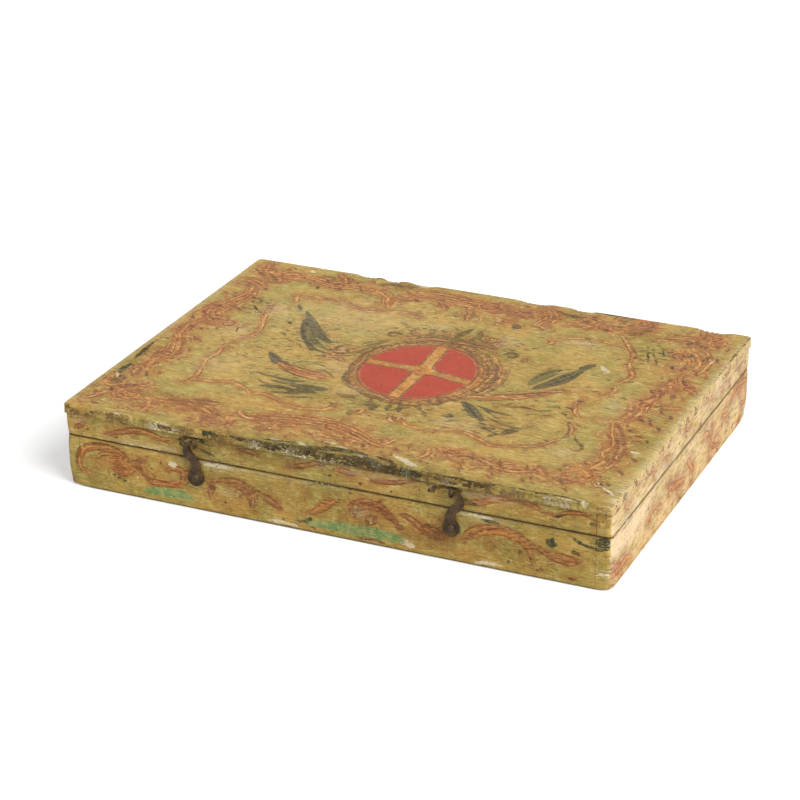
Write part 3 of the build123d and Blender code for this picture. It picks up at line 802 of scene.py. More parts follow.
# Knocks, filler and scratches on the lid's top, laid over the paint
topPatches = [
    ("tar", (0.8, 2.8, 2), [(-50, -131.5), (-34, -131.4), (-22, -130.6)]),
    ("bottle", (0.6, 2, 0.8), [(-32, -129), (-20, -128.4), (-8, -127.4)]),
    ("umber", (0.3, 0.9, 0.4), [(-42, -127), (-30, -125.6), (-18, -124)]),
    ("tar", (1.4, 3, 1.8), [(-18, -132), (-4, -131), (8, -130.6)]),
    ("umber", (0.6, 1.6, 0.6), [(-12, -126), (0, -125), (12, -124.4)]),
    ("bottle", (0.6, 2, 0.8), [(-4, -122), (10, -122), (24, -123.6)]),
    ("tar", (1.8, 3.6, 2), [(6, -130.4), (20, -130), (34, -131)]),
    ("bluish", (1, 2.6, 1.2), [(22, -126), (30, -129), (38, -133)]),
    ("tar", (2, 3.4, 1), [(32, -131), (46, -132), (60, -133.4)]),
    ("slate", (0.4, 1.4, 0.4), [(28, -123), (36, -124.6), (44, -128)]),
    ("bluish", (1, 2, 1), [(48, -129), (53, -132), (57, -135)]),
    ("bottle", (0.4, 1.4, 0.4), [(-62, -130.6), (-56, -131.6), (-48, -131)]),
    ("cream", (0.3, 0.9, 0.3), [(2, -119.6), (6, -119.8), (10, -120.6)]),
    ("cream", (0.3, 0.9, 0.3), [(-12, -129.6), (-9, -131), (-6, -131.4)]),
    ("bottle", (0.6, 1.5, 0.6), [(-80, -129.6), (-75, -131.6), (-69, -133)]),
    ("tar", (0.3, 1.1, 0.6), [(60, -130.2), (80, -130.6), (104, -129.8)]),
    ("umber", (0.2, 0.7, 0.3), [(106, -129.6), (136, -129), (168, -129.6)]),
    ("cream", (0.5, 1.9, 0.8), [(37, -118), (44, -120.5), (50, -124), (55, -126)]),
    ("cream", (0.6, 1.1, 0.6), [(-7, -117), (-3, -116.6), (1, -117)]),
    ("cream", (0.5, 1.5, 0.6), [(-22, -123), (-18, -124.6), (-15, -125)]),
    ("cream", (0.5, 1.2, 0.5), [(18, -124), (20.5, -125.6), (22, -127)]),
    ("cream", (0.4, 1.1, 0.4), [(-38, -124), (-35, -125.6), (-31, -125)]),
    ("cream", (0.4, 1.2, 0.4), [(-128, -130.6), (-124.5, -132), (-121, -133)]),
    ("cream", (0.2, 0.7, 0.2), [(-140, -129.6), (-136, -130.4), (-133, -130.6)]),
    ("cream", (0.2, 0.7, 0.2), [(-112, -130.4), (-107, -131.4), (-101, -131.4)]),
    ("cream", (0.2, 0.8, 0.2), [(128, -131.6), (133, -132.4), (138, -132)]),
    ("cream", (0.2, 0.8, 0.2), [(142, -130.4), (147, -131), (151, -130.6)]),
    ("brown", (0.3, 1.2, 0.3), [(-120, -135), (-108, -134), (-94, -135.4)]),
    ("umber", (0.3, 0.9, 0.3), [(66, -133), (82, -134.6), (100, -134)]),
    ("cream", (0.4, 0.9, 0.4), [(152, -127), (156, -129), (160, -130)]),
    ("cream", (0.4, 0.9, 0.4), [(155, -103), (159, -108), (166, -113), (172, -119)]),
    ("cream", (0.5, 1.6, 0.5), [(160, -59), (163, -60), (165, -59)]),
    ("cream", (0.4, 1, 0.4), [(-168, -76), (-165.5, -80), (-164, -83)]),
    ("cream", (0.8, 1.8, 0.8), [(-131, 124), (-129.5, 121.5), (-128, 121)]),
    ("cream", (0.6, 1.6, 0.6), [(-53, 126), (-49, 127), (-45, 128)]),
    ("cream", (0.4, 1.2, 0.4), [(15, 128), (17, 130), (19, 130)]),
    ("cream", (0.3, 0.8, 0.3), [(164, 86), (164, 81), (163, 77)]),
    ("tar", (0.8, 1.7, 1), [(-45, 131), (-30, 131.6), (0, 131.4), (19, 131)]),
    ("umber", (1, 2.2, 1), [(-93, 131), (-86, 129.5), (-78, 130), (-71, 131)]),
    ("umber", (0.8, 2, 0.8), [(64, 131), (76, 129.6), (88, 130), (100, 131)]),
    ("umber", (0.6, 1.6, 0.6), [(-170, -26), (-169.5, -34), (-169, -44), (-168, -54)]),
    ("bottle", (0.8, 2.2, 0.8), [(-166, -62), (-167, -70), (-166, -78)]),
    ("yellow", (0.4, 1, 0.4), [(156, -44), (160, -42), (163, -41)]),
    ("yellow", (0.3, 0.8, 0.3), [(160, -36), (163, -35), (165, -34)]),
    ("yellow", (0.3, 0.9, 0.3), [(152, -38), (155, -36.5), (158, -36)]),
    ("sand", (0.3, 0.7, 0.3), [(150, -4), (154, 0), (156, 5)]),
    ("sand", (0.3, 0.7, 0.3), [(146, -12), (149, -9), (153, -8)]),
    ("slate", (0.3, 0.8, 0.3), [(-144, 60), (-139, 53), (-134, 47), (-129, 43)]),
    ("slate", (0.3, 0.7, 0.3), [(-140, 63), (-136, 57), (-134, 54)]),
    ("slate", (0.3, 0.8, 0.3), [(124, 86), (127, 78), (131, 70), (134, 64)]),
    ("slate", (0.3, 0.7, 0.3), [(121, 84), (124, 75), (127, 66), (129, 61)]),
    ("slate", (0.3, 0.6, 0.3), [(129, 90), (131, 84), (134, 78)]),
    ("umber", (0.3, 0.7, 0.3), [(-132, 16), (-130.5, 12), (-129.5, 8)]),
    ("umber", (0.6, 1.3, 0.6), [(-106, 37), (-104.5, 35), (-103, 34)]),
    ("umber", (0.5, 1.2, 0.5), [(-115, 99), (-114.5, 97.5), (-114, 96)]),
    ("sand", (0.6, 1.2, 0.6), [(173.6, 60), (173.4, 10), (173.6, -40), (173.4, -100)]),
    ("brown", (0.2, 0.5, 0.2), [(173.8, 128), (173.4, 100), (173.7, 72), (173.4, 48)]),
]

# Grime and painted shade, rubbed pale and warm wash on the lid's top: x, y, half width, half height,
# strength. The grime spot at y -136, on the board's front face, is partly painted shade under the top edge.
topGrimeAndShade = [
    (160, -44, 11, 24, 0.34), (0, -136, 84, 5, 1.0), (0, -128, 72, 7, 1.0), (120, -130, 60, 4, 0.6),
    (-110, -131, 60, 3, 0.25), (16, 58, 22, 16, 0.5), (-30, 44, 16, 8, 0.4), (45, 42, 14, 8, 0.4),
    (122, 78, 12, 18, 0.45), (-140, 52, 8, 12, 0.35), (-110, -97, 26, 6, 0.4), (6, -56, 44, 8, 0.4),
    (78, -32, 26, 8, 0.35), (80, -58, 20, 12, 0.3), (-54, -58, 18, 14, 0.4), (-168, -60, 5, 34, 0.5),
    (110, 106, 12, 8, 0.5), (60, 117, 14, 8, 0.4), (-30, 130, 50, 3, 0.6), (-100, 122, 16, 6, 0.35),
    (-62, 120, 16, 6, 0.45), (-40, 10, 8, 22, 0.35), (70, 30, 12, 18, 0.35), (-134, -94, 10, 6, 0.3),
    (80, 86, 24, 6, 0.25), (-96, 94, 22, 6, 0.25),
]
topPale = [
    (-70, 58, 50, 24, 0.22), (173.5, 0, 3, 130, 0.8), (173, -115, 5, 20, 0.5), (-173, 20, 2.5, 100, 0.4),
    (-122, 52, 9, 10, 0.3), (80, 78, 12, 6, 0.35), (35, 62, 8, 10, 0.35), (-12, 66, 7, 4, 0.5),
    (52, -64, 12, 6, 0.35), (-48, -16, 10, 10, 0.3), (-26, -46, 10, 6, 0.3), (132, -2, 8, 14, 0.25),
    (125, -76, 12, 6, 0.3), (-130, 12, 14, 16, 0.2), (-118, -40, 16, 14, 0.2),
]
topWarm = [
    (-157, 0, 13, 120, 0.8), (0, 112, 170, 10, 0.75), (148, 20, 12, 100, 0.7), (-10, -104, 70, 12, 0.7),
    (110, -106, 40, 9, 0.6), (-100, -108, 40, 10, 0.6), (-90, 80, 40, 7, 0.3), (30, 90, 22, 12, 0.5),
    (-121, -20, 8, 90, 0.25), (118, 20, 8, 60, 0.25), (-60, -80, 40, 10, 0.4), (10, -72, 30, 6, 0.35),
    (0, 0, 44, 52, 0.5), (100, 4, 20, 14, 0.35), (-80, 20, 12, 30, 0.2),
]


# The oval in the middle of the lid: red quarters parted by gold bands, in a fluted gold rim
oval = {
    "x": 2.2,
    "y": -3.0,
    "wide": 36.0,
    "tall": 41.0,
    "rimWide": 44.5,
    "rimTall": 48.5,
    "rimShift": 2.4,
    "bandX": 3.6,
    "uprightHalf": 4.2,
    "levelHalf": 3.7,
    "bandRound": 2.2,  # how softly the bands run into each other
    # thin rings between the red and the rim: half sizes, half width, ink
    "rings": [(36.6, 41.6, 1.1, "plum"), (39.6, 44.4, 0.45, "umber"), (42.2, 46.6, 0.5, "redBrown")],
}


def ovalInside(u, v, wide, tall):
    return (1 - np.hypot((u - oval["x"]) / wide, (v - oval["y"]) / tall)) * min(wide, tall)


def paintOval(ink, fine):
    u, v = ink.u, ink.v
    none = -Layer.reach
    middle = ovalInside(u, v, oval["wide"], oval["tall"])
    rim = ovalInside(u - oval["rimShift"], v, oval["rimWide"], oval["rimTall"])
    around = np.arctan2((v - oval["y"]) / oval["tall"], (u - oval["x"]) / oval["wide"])
    upright = abs(u - (oval["bandX"] - 0.0032 * np.maximum(v - 5, 0) ** 1.9)) - oval["uprightHalf"]
    level = abs(v - np.where(u < 6, 0.0, -0.22 * (u - 6))) - oval["levelHalf"]
    scallop = 1.6 * abs(np.sin(around * 9)) + 0.8 * np.sin(around * 5 + 1)
    ink.field("gold", np.where(rim + scallop > -3, np.minimum(rim + scallop, 6), none))
    softness = oval["bandRound"]
    quarter = -softness * np.log(np.exp(-upright / softness) + np.exp(-level / softness))
    took = np.minimum(quarter, middle - 0.4) > 0
    ink.inside[took] = 3.0
    ink.across[took] = v[took] * 0.3
    ink.along[took] = u[took] * 0.2
    ink.colour[took] = paint(*inks["red"])
    for wide, tall, half, colour in oval["rings"]:
        fine.field(colour, half - abs(ovalInside(u, v, wide, tall)))
    fine.field("umber", 0.65 - abs(rim + scallop))
    beads = 0.7 - 2.2 * abs(np.sin(around * 23))
    fine.field("brown", np.where((middle < -3) & (rim > -0.5), beads, none))
    fine.field("umber", np.where(middle > 0, 0.6 - abs(quarter + 0.3), none))


# The crest above the oval, the curls round it and the small marks below it
crestAndCurls = [
    ("plum", (1.4, 2.6, 1.4), [(-28, 43), (-12, 47), (6, 48), (24, 47), (36, 43)]),
    ("bronze", (0.8, 1.8, 0.8), [(-24, 48), (-10, 52), (6, 53), (22, 52), (33, 47)]),
    ("brown", (0.7, 1.4, 0.6), curl(-35, 44, 5, 1.4, 0, 1.1)),
    ("brown", (0.7, 1.4, 0.6), curl(46, 42, 5, 1.4, 180, -1.1)),
    ("plum", (0.5, 1, 0.4), curl(56, 38, 4, 1.2, 150, -1.1)),
    ("bronze", (1, 2, 0.5), [(-13, 52), (-15, 60), (-13, 67)]),
    ("brown", (1, 2.2, 0.5), [(3, 54), (5, 64), (8, 74)]),
    ("bronze", (1, 2.4, 0.5), [(13, 53), (16, 62), (14, 72)]),
    ("plum", (1, 1.8, 0.5), [(25, 51), (30, 57), (29, 64)]),
    ("bronze", (0.8, 1.6, 0.5), [(-22, 50), (-27, 55), (-25, 61)]),
    ("rust", (0.7, 1.6, 0.5), [(-4, 53), (-5, 59), (-1, 64)]),
    ("rust", (0.7, 1.6, 0.5), [(20, 53), (23, 59), (20, 65)]),
    *[
        (tone, (0.4, 0.9, 0.4), curl(4 + 9 * step, 57 - 0.55 * step**2, 3.6, 1, 80 * step, 0.9))
        for step, tone in zip(range(-4, 5), ("bronze", "plum") * 5)
    ],
    ("gold", (1.4, 2.6, 1.2), [(38, 34), (43, 22), (46, 8), (46, -6)]),
    ("umber", (0.8, 1.6, 0.6), [(39, 30), (42, 18), (45, 6)]),
    ("orange", (1, 1.6, 0.8), [(34, 38), (40, 32), (47, 20), (51, 4), (50, -8)]),
    ("bronze", (1, 2, 1), [(-34, 34), (-40, 24), (-43, 10)]),
    ("gold", (1.6, 3, 1.6), [(-60, 3), (-53, 8), (-45, 14)]),
    ("brown", (0.5, 0.9, 0.5), curl(-52, 9, 9.5, 7.5, 20, 1)),
    ("plum", (0.5, 0.9, 0.5), curl(-52, 9, 5.5, 2.5, 120, 1)),
    ("bronze", (0.6, 1.2, 0.6), [(-47, 17), (-42, 24), (-35, 31)]),
    ("brown", (0.4, 0.8, 0.4), [(-49, 19), (-44, 27), (-36, 35)]),
    ("brown", (0.5, 1, 0.4), curl(31, -40, 6, 1.6, 100, 1.1)),
    ("plum", (0.5, 1, 0.4), curl(40, -32, 4.5, 1.4, 0, 1)),
    ("gold", (0.8, 1.6, 0.8), [(50, 22), (53, 8), (53, -8), (49, -20)]),
    ("brown", (0.4, 0.8, 0.4), [(53, 22), (56, 8), (56, -8), (51, -22)]),
    ("bronze", (1.4, 2.6, 1), [(-38, -20), (-32, -34), (-20, -44)]),
    ("gold", (1.2, 2.4, 1), [(34, -30), (26, -42), (12, -47)]),
    ("brown", (1, 1.8, 0.8), [(-7, -52), (-5, -60), (-1, -63), (1, -58)]),
    ("umber", (0.8, 1.8, 0.8), [(7, -54), (7, -59), (8, -63)]),
    ("umber", (0.8, 1.8, 0.8), [(12, -51), (14, -57), (15, -62)]),
    ("umber", (0.6, 1.6, 0.6), [(43, -55), (45, -54), (48, -56)]),
    ("orange", (1, 2.4, 0.8), [(-25, -66), (-24, -71), (-27, -77)]),
    ("orange", (1, 2.6, 0.8), [(-7, -65), (-5, -70), (-7, -75)]),
    ("brown", (0.8, 1.8, 0.8), [(-12, -71), (-11, -75), (-9, -78)]),
    ("orange", (0.8, 1.8, 0.6), [(21, -66), (19, -70), (22, -74)]),
    ("rust", (0.8, 2.2, 0.8), [(13, -68), (15, -74), (19, -77)]),
    ("bronze", (1, 2.2, 0.8), [(-16, -50), (-24, -54), (-30, -52)]),
    ("bronze", (1, 2, 0.8), [(20, -50), (28, -54), (33, -50)]),
]

# Scrollwork on the front, x and z in millimetres
frontScrolls = [
    ("rust", (1.4, 2.4, 1.2), [
        (-159, 10.5), (-164, 12), (-165.5, 18), (-162, 25), (-152, 29), (-141, 28.5), (-132, 23.5),
        (-125, 19),
    ]),
    ("brown", (0.4, 0.6, 0.4), [
        (-161, 9), (-167, 12), (-168, 20), (-163, 28), (-151, 31.5), (-139, 30.5), (-129, 24),
    ]),
    ("rust", (0.7, 1.2, 0.8), [(-154, 16.5), (-153, 21.5), (-148, 25), (-141, 25.5)]),
    ("orange", (1.2, 3.2, 1.4), [(-145, 21), (-138, 22), (-131, 18.5)]),
    ("orange", (1.5, 3, 1), [(-142, 16), (-135, 15), (-129, 17)]),
    ("redBrown", (1.2, 1.8, 0.8), [(-120, 25), (-123, 25.5), (-125, 22), (-122, 16)]),
    ("rust", (0.8, 1.6, 0.9), [(-123, 18), (-117, 13.5), (-108, 13), (-99, 14.5), (-94, 18)]),
    ("orange", (0.8, 1.6, 0.8), [(-121, 14), (-113, 11.5), (-104, 12.5), (-96, 13)]),
    ("rust", (0.8, 1.9, 1.4), [(-107, 22), (-100, 24.5), (-94, 23), (-92.5, 18), (-97, 14)]),
    ("rust", (0.5, 0.8, 0.5), curl(-100, 18.5, 4.4, 2.2, 20, 0.9)),
    ("redBrown", (1.6, 2, 1), [(-78, 16), (-75, 17), (-77, 13), (-76, 9)]),
    ("redBrown", (0.8, 1.7, 1.5), [
        (-79, 17), (-73, 21.5), (-62, 23.5), (-53, 21.5), (-47, 16), (-47, 10.5),
    ]),
    ("plum", (0.6, 1.7, 1.2), [(-64, 22), (-55, 19), (-50.5, 14), (-50, 9)]),
    ("brown", (0.4, 0.6, 0.4), [(-76, 20), (-66, 25), (-54, 24.5), (-46, 18), (-45, 11)]),
    ("redBrown", (1, 2.8, 1), [(-44, 19), (-36, 15), (-29, 10.5)]),
    ("brown", (0.4, 0.8, 0.4), [(-49, 23), (-42, 19), (-35, 13)]),
    ("redBrown", (0.4, 0.8, 0.4), [(-13.5, 25), (-14.2, 22), (-14, 19)]),
    ("rust", (0.8, 2.4, 0.8), [(-14, 12), (-8, 14.5), (0, 20), (8, 25)]),
    ("orange", (0.4, 1, 0.4), [(-10, 16), (-3, 21), (2, 25)]),
    ("rust", (0.9, 1.6, 1), [(13, 13), (13, 19), (18, 25.5), (27, 27.5), (36, 25), (43, 19), (49, 13)]),
    ("orange", (0.8, 1.5, 0.8), [(17, 14), (18, 19), (24, 23.5), (33, 23), (40, 17)]),
    ("plum", (0.5, 1.3, 0.6), [(21, 26.5), (31, 25.5), (40, 20), (46, 12)]),
    ("rust", (0.5, 1, 0.4), curl(28, 17, 4.6, 1.2, 160, 1.1)),
    ("redBrown", (0.8, 2.6, 1.2), [(46, 24), (54, 21), (62, 16), (72, 12.5)]),
    ("orange", (0.6, 1.5, 0.6), [(58, 13), (66, 17.5), (73, 16), (72, 10)]),
    ("rust", (0.8, 2.1, 1.2), [(84, 14), (89, 21), (98, 25.5), (108, 26.5)]),
    ("redBrown", (0.6, 1, 0.8), [(86, 13), (92, 20), (101, 26), (111, 27.5), (121, 24), (130, 19)]),
    ("orange", (0.8, 1.8, 0.8), [(90, 17), (98, 22), (108, 24), (117, 21)]),
    ("rust", (1, 1.8, 0.9), [(108, 26.5), (119, 22.5), (125, 16), (127.5, 10), (126.5, 5.5)]),
    ("redBrown", (0.9, 1.6, 1.2), [(124, 22), (132, 18), (141, 14), (150, 13), (155.5, 16)]),
    ("rust", (1, 2.6, 1), [(140, 17), (148, 16), (154, 16.5)]),
    ("umber", (0.6, 1.3, 0.5), [(150, 20.5), (153, 21), (156, 19.5)]),
    ("brown", (0.3, 0.5, 0.3), [(118, 27), (127, 22.5), (137, 19), (147, 18.5)]),
    # the lid's rail
    ("rust", (0.8, 1.8, 0.6), [(-168, 38.5), (-163.5, 41), (-160, 44)]),
    ("brown", (0.4, 0.7, 0.4), [(-170, 45), (-169, 48), (-166, 48)]),
    ("rust", (0.8, 2, 1.1), [(-148, 38), (-138, 41), (-128, 44), (-118, 44.5), (-108, 42), (-102, 42.5)]),
    ("brown", (0.3, 0.6, 0.3), [(-144, 39.5), (-132, 43.5), (-120, 46), (-110, 44)]),
    ("redBrown", (0.7, 1.5, 0.7), [(-58, 44.5), (-50, 45), (-43, 43)]),
    ("redBrown", (0.8, 1.6, 0.8), [(-27, 39.5), (-17, 42), (-8, 45), (0, 46)]),
    ("rust", (0.9, 2.2, 0.9), [(5, 44.5), (11, 44), (18, 43)]),
    ("redBrown", (0.7, 1.5, 0.7), [(28, 41), (38, 42), (48, 44), (55, 46)]),
    ("brown", (0.4, 0.8, 0.4), [(52, 46.5), (61, 47), (67, 44), (69, 40)]),
    ("orange", (0.8, 2, 1), [(83, 38.5), (93, 40), (103, 43.5), (112, 46)]),
    ("rust", (0.9, 1.8, 0.9), [(96, 42), (106, 45.5), (117, 47), (127, 45), (134, 42)]),
    ("rust", (0.6, 1.2, 0.6), [(134, 42), (142, 42), (149, 45), (158, 45.5), (164, 43.5), (166.5, 40)]),
    ("redBrown", (0.4, 0.8, 0.4), [(150, 46), (157, 46.6), (163, 45)]),
]
frontPatches = [
    ("underGreen", (1, 3.2, 1.4), [(-121, 5.5), (-113, 7), (-103, 7.4), (-94, 7.6), (-88, 5)]),
    ("underGreen", (1.4, 3.6, 2.8), [(-13, 5.2), (-2, 7), (14, 7.4), (32, 7.6), (46, 7.4)]),
    ("bottle", (0.5, 1.4, 0.5), [(-20, 5), (-14, 7), (-8, 10.5)]),
    ("bottle", (0.4, 0.9, 0.4), [(-144, 13), (-139, 11), (-133, 9)]),
    ("bottle", (0.5, 1.1, 0.5), [(149, 30.5), (157, 27), (166, 25.4), (174, 27)]),
    ("bottle", (0.8, 3.4, 2), [(165, 29.5), (170, 30), (175, 29.5)]),
    ("bottle", (0.8, 1.7, 0.8), [(135.5, 25), (138, 22.4), (140.5, 24), (139, 27)]),
    ("cream", (0.8, 1.7, 0.8), [(-104, 27), (-101, 26.6), (-98.6, 27.2)]),
    ("cream", (0.3, 0.8, 0.3), [(-127, 13.6), (-126, 13.6), (-125, 13.6)]),
    ("cream", (0.8, 2.2, 0.4), [(48.6, 8.6), (50, 5.6), (55, 4)]),
    ("cream", (0.4, 1.2, 0.4), [(-42, 2), (-33, 3), (-24, 2.8), (-17, 2)]),
    ("cream", (0.3, 1.2, 0.3), [(92, 1.6), (101, 3.4), (110, 3)]),
    ("plum", (0.4, 1.2, 0.4), [(17, 2.4), (28, 3.4), (38, 2.2)]),
    ("cream", (0.3, 0.6, 0.3), [(163, 8), (168, 10), (174, 11)]),
    ("cream", (0.3, 0.7, 0.3), [(26, 18), (27, 16), (28, 14)]),
    ("cream", (0.4, 1.2, 0.4), [(-81, 30.6), (-74, 31.6), (-64, 31.6)]),
    ("cream", (0.3, 0.9, 0.3), [(84, 31), (92, 32), (104, 31.5)]),
    ("cream", (0.2, 0.6, 0.2), [(-140, 34.4), (-125, 34.6), (-108, 34.6)]),
    ("slate", (0.3, 1, 0.3), [(95, 30), (102, 29.6), (108, 30)]),
    ("umber", (0.3, 0.6, 0.3), [(-96, 42), (-92, 46.6), (-85, 48), (-78, 45), (-73.6, 40.6)]),
    ("umber", (0.4, 1.4, 0.5), [(-96.4, 41), (-94, 45), (-88, 47.4)]),
    ("brown", (0.3, 0.8, 0.3), [(64, 38), (68, 43), (75, 46.4), (82, 46)]),
    ("slate", (0.3, 0.9, 0.3), [(62, 40), (66, 44), (72, 47)]),
    ("tar", (0.3, 1.2, 0.3), [(-74, 51), (-66, 49.6), (-50, 50.4)]),
    ("tar", (0.5, 1.9, 0.8), [(-90, 46), (-84.5, 47.4), (-79, 44.6)]),
    ("umber", (0.5, 1.8, 0.6), [(-98, 44.6), (-94, 42.6), (-91, 39)]),
    ("umber", (0.4, 1.2, 0.4), [(-83, 41), (-77, 38.6), (-72, 37)]),
    ("tar", (0.5, 1.8, 0.8), [(73.6, 46), (79, 47.2), (84.6, 44.6)]),
    ("umber", (0.5, 1.6, 0.6), [(84, 42), (88, 39.4), (93, 38.6)]),
]
# Grime and painted shade on the front: the bands just under the board's edge (z 47 to 50.5) are partly
# painted shade under its overhang, and those at the seam (z 33 to 34) and at the foot (z 0.5) are painted
# shade between lid and base and along the floor, mixed with dirt. The spots at the clasps darken round them.
frontGrimeAndShade = [
    (-46, 47, 34, 9, 0.85), (20, 50.5, 56, 3.5, 0.6), (20, 33, 60, 3, 0.4), (-85, 42, 13, 9, 0.75),
    (76, 42, 13, 9, 0.65), (-85, 22, 9, 8, 0.7), (78, 22, 9, 8, 0.75), (110, 49, 60, 3, 0.5),
    (-150, 49.5, 30, 2, 0.4), (40, 14, 44, 8, 0.35), (110, 14, 14, 8, 0.35), (-30, 24, 34, 8, 0.35),
    (70, 8, 24, 5, 0.3), (150, 34, 40, 3, 0.6), (-100, 33.5, 40, 1.6, 0.3), (0, 0.5, 180, 1.4, 0.5),
    (140, 22, 8, 5, 0.2),
]
frontPale = [
    (-72, 31.5, 14, 2.4, 0.7), (94, 31, 16, 2.4, 0.5), (20, 45, 30, 2.4, 0.35), (100, 45, 18, 3, 0.4),
    (-165, 46, 8, 3, 0.3), (-120, 36, 26, 1.4, 0.5), (172, 10, 5, 3, 0.5), (-30, 32, 40, 1.6, 0.3),
    (-66, 15.5, 8, 2.4, 0.4), (20, 19, 6, 3, 0.4),
]
frontWarm = [
    (-140, 20, 22, 10, 0.6), (-106, 17, 14, 8, 0.5), (-60, 16, 20, 9, 0.5), (0, 20, 16, 9, 0.5),
    (30, 21, 22, 9, 0.5), (66, 17, 20, 8, 0.6), (110, 18, 30, 10, 0.5), (-60, 6, 40, 4, 0.3),
    (-125, 42, 26, 5, 0.4), (0, 43, 70, 4, 0.4), (120, 43, 46, 5, 0.5), (74, 5, 24, 3, 0.5),
]

# The right side, y and z in millimetres
rightScrolls = [
    ("rust", (2, 3.6, 0.8), [(-128, 17), (-120, 12), (-110, 8)]),
    ("orange", (1.4, 2.6, 0.8), [(-126, 9), (-116, 8), (-104, 9), (-94, 6)]),
    ("rust", (1.2, 3, 1.4), [(-32, 22), (-22, 17), (-10, 14), (2, 12)]),
    ("redBrown", (0.6, 1.2, 0.6), [(-34, 24), (-24, 20), (-12, 17)]),
    ("rust", (1, 2, 1), [(37, 26), (45, 22), (50, 17), (54, 11), (61, 8), (72, 6)]),
    ("orange", (1, 2, 0.8), [(34, 23), (42, 24), (50, 21)]),
    ("redBrown", (0.6, 1.4, 0.6), [(51, 26), (54, 23), (58, 22)]),
    ("orange", (0.8, 1.6, 0.8), [(72, 23), (80, 20), (90, 19)]),
    ("rust", (1, 2.4, 1.2), [(88, 23), (96, 27.4), (106, 29), (118, 28.4), (127, 25)]),
    ("orange", (1, 2.4, 0.8), [(96, 25), (106, 26), (116, 25)]),
    ("rust", (0.8, 1.6, 0.8), [(112, 16), (118, 13), (124, 12)]),
    ("rust", (1.2, 3, 1), [(6, 23), (13, 15), (20, 10)]),
    ("orange", (1, 2, 1), [(-70, 14), (-60, 18), (-48, 19)]),
    ("rust", (0.6, 1.2, 0.6), [(-110, 47), (-107, 43), (-102, 41), (-96, 42)]),
    ("rust", (0.6, 1.3, 0.6), [(-76, 50), (-68, 47), (-60, 43), (-52, 41)]),
    ("rust", (0.6, 1.5, 0.6), [(-46, 40), (-40, 42), (-32, 42)]),
    ("rust", (0.6, 1.3, 0.6), [(-4, 47), (2, 44), (8, 41)]),
    ("rust", (0.6, 1.5, 0.6), [(34, 46), (43, 46.6), (52, 44), (60, 41)]),
    ("orange", (0.8, 1.8, 0.6), [(66, 42), (76, 43), (88, 41)]),
    ("rust", (0.6, 1.2, 0.6), [(96, 44), (106, 42), (116, 43)]),
]
rightPatches = [
    ("blush", (3, 5, 2), [(-129, 25.6), (-112, 25.4), (-94, 25), (-80, 26.6), (-64, 28.6)]),
    ("cream", (0.4, 0.9, 0.4), [(-131, 48), (-130, 42), (-130.6, 37)]),
    ("slate", (0.3, 0.7, 0.3), [(-92, 48), (-90, 47), (-88, 48)]),
    ("umber", (0.3, 0.6, 0.3), [(101, 12), (104, 11), (107, 10.4)]),
]
# Grime and painted shade on the right side: the bands at the seam and at the foot are painted shade with
# dirt.
rightGrimeAndShade = [
    (-20, 33.6, 90, 1.8, 0.4), (60, 33.6, 60, 1.6, 0.4), (0, 2, 140, 2, 0.35), (-40, 24, 20, 6, 0.25),
]
rightPale = [
    (-95, 26, 40, 9, 1.0), (-60, 38, 60, 6, 0.5), (70, 42, 50, 6, 0.5), (20, 24, 30, 8, 0.45),
    (0, 50, 130, 4, 0.4), (-128, 30, 6, 20, 0.5), (100, 20, 20, 6, 0.4),
]
rightWarm = [
    (0, 3, 150, 5, 0.7), (-118, 12, 16, 7, 0.7), (0, 12, 40, 6, 0.5), (60, 14, 20, 9, 0.4),
    (108, 26, 20, 6, 0.5), (-60, 46, 40, 5, 0.3),
]


# Lays one list of strokes. Flip turns it round and shift moves it to another face of the case.
def layStrokes(layer, strokes, shift=0, flip=1):
    for colour, widths, points in strokes:
        layer.stroke(colour, widths, [(flip * u + shift, v) for u, v in points])


# A thin darker line along each side of the broader strokes
def layOutlines(layer, strokes, colour, shift=0, flip=1):
    for _, widths, points in strokes:
        if widths[1] < 1:
            continue
        line = smoothLine([(flip * u + shift, v) for u, v in points])
        half = halfWidth(widths, np.linspace(0, 1, len(line)))[:, None]
        out = headings(line)[:, ::-1] * (-1, 1)
        every = max(1, len(line) // 12)
        for side in (-0.9, 0.9):
            layer.stroke(colour, (0.2, 0.4, 0.2), (line + out * half * side)[::every])


# Curled leaves along both sides of the longer scrolls, as the painter's quick touches, and curled ends
def laySprigs(layer, strokes, gap, shift=0, flip=1):
    tones = ("rust", "orange", "redBrown", "amber", "rust", "plum")
    leaf = [(0, 0), (0.2, 0.45), (0.75, 0.85), (1.2, 0.65), (1.05, 0.3)]
    for number, (_, widths, points) in enumerate(strokes):
        line = smoothLine([(flip * u + shift, v) for u, v in points])
        lengths = distances(line)
        if lengths[-1] < gap * 1.5:
            continue
        aim = headings(line)
        for count, at in enumerate(np.arange(gap * 0.4, lengths[-1] - gap * 0.2, gap)):
            here = min(int(np.searchsorted(lengths, at)), len(line) - 1)
            side = 1 if (count + number) % 2 else -1
            ahead, out = aim[here], side * np.array([-aim[here][1], aim[here][0]])
            size = gap * (0.7 + 0.2 * sin(7 * count + 3 * number))
            root = line[here] + out * halfWidth(widths, at / lengths[-1]) * 0.6
            curve = [root + ahead * size * a + out * size * b for a, b in leaf]
            layer.stroke(tones[(count * 2 + number) % 6], (1.1, 0.85, 0.3), curve)


# A curl and its echo over each of the broadest scrolls
def layCurls(layer, strokes):
    for number, (_, widths, points) in enumerate(strokes):
        half = widths[1]
        if half < 4:
            continue
        x, y = points[len(points) // 2]
        turns = 1.2 if number % 2 else -1.2
        dark = curl(x, y, half * 0.95, half * 0.25, 70 * number, turns, 12)
        light = curl(x, y, half * 1.2, half * 0.5, 70 * number + 25, turns, 12)
        layer.stroke("redBrown", (0.4, 0.8, 0.3), dark)
        layer.stroke("flame", (0.3, 0.6, 0.3), light)


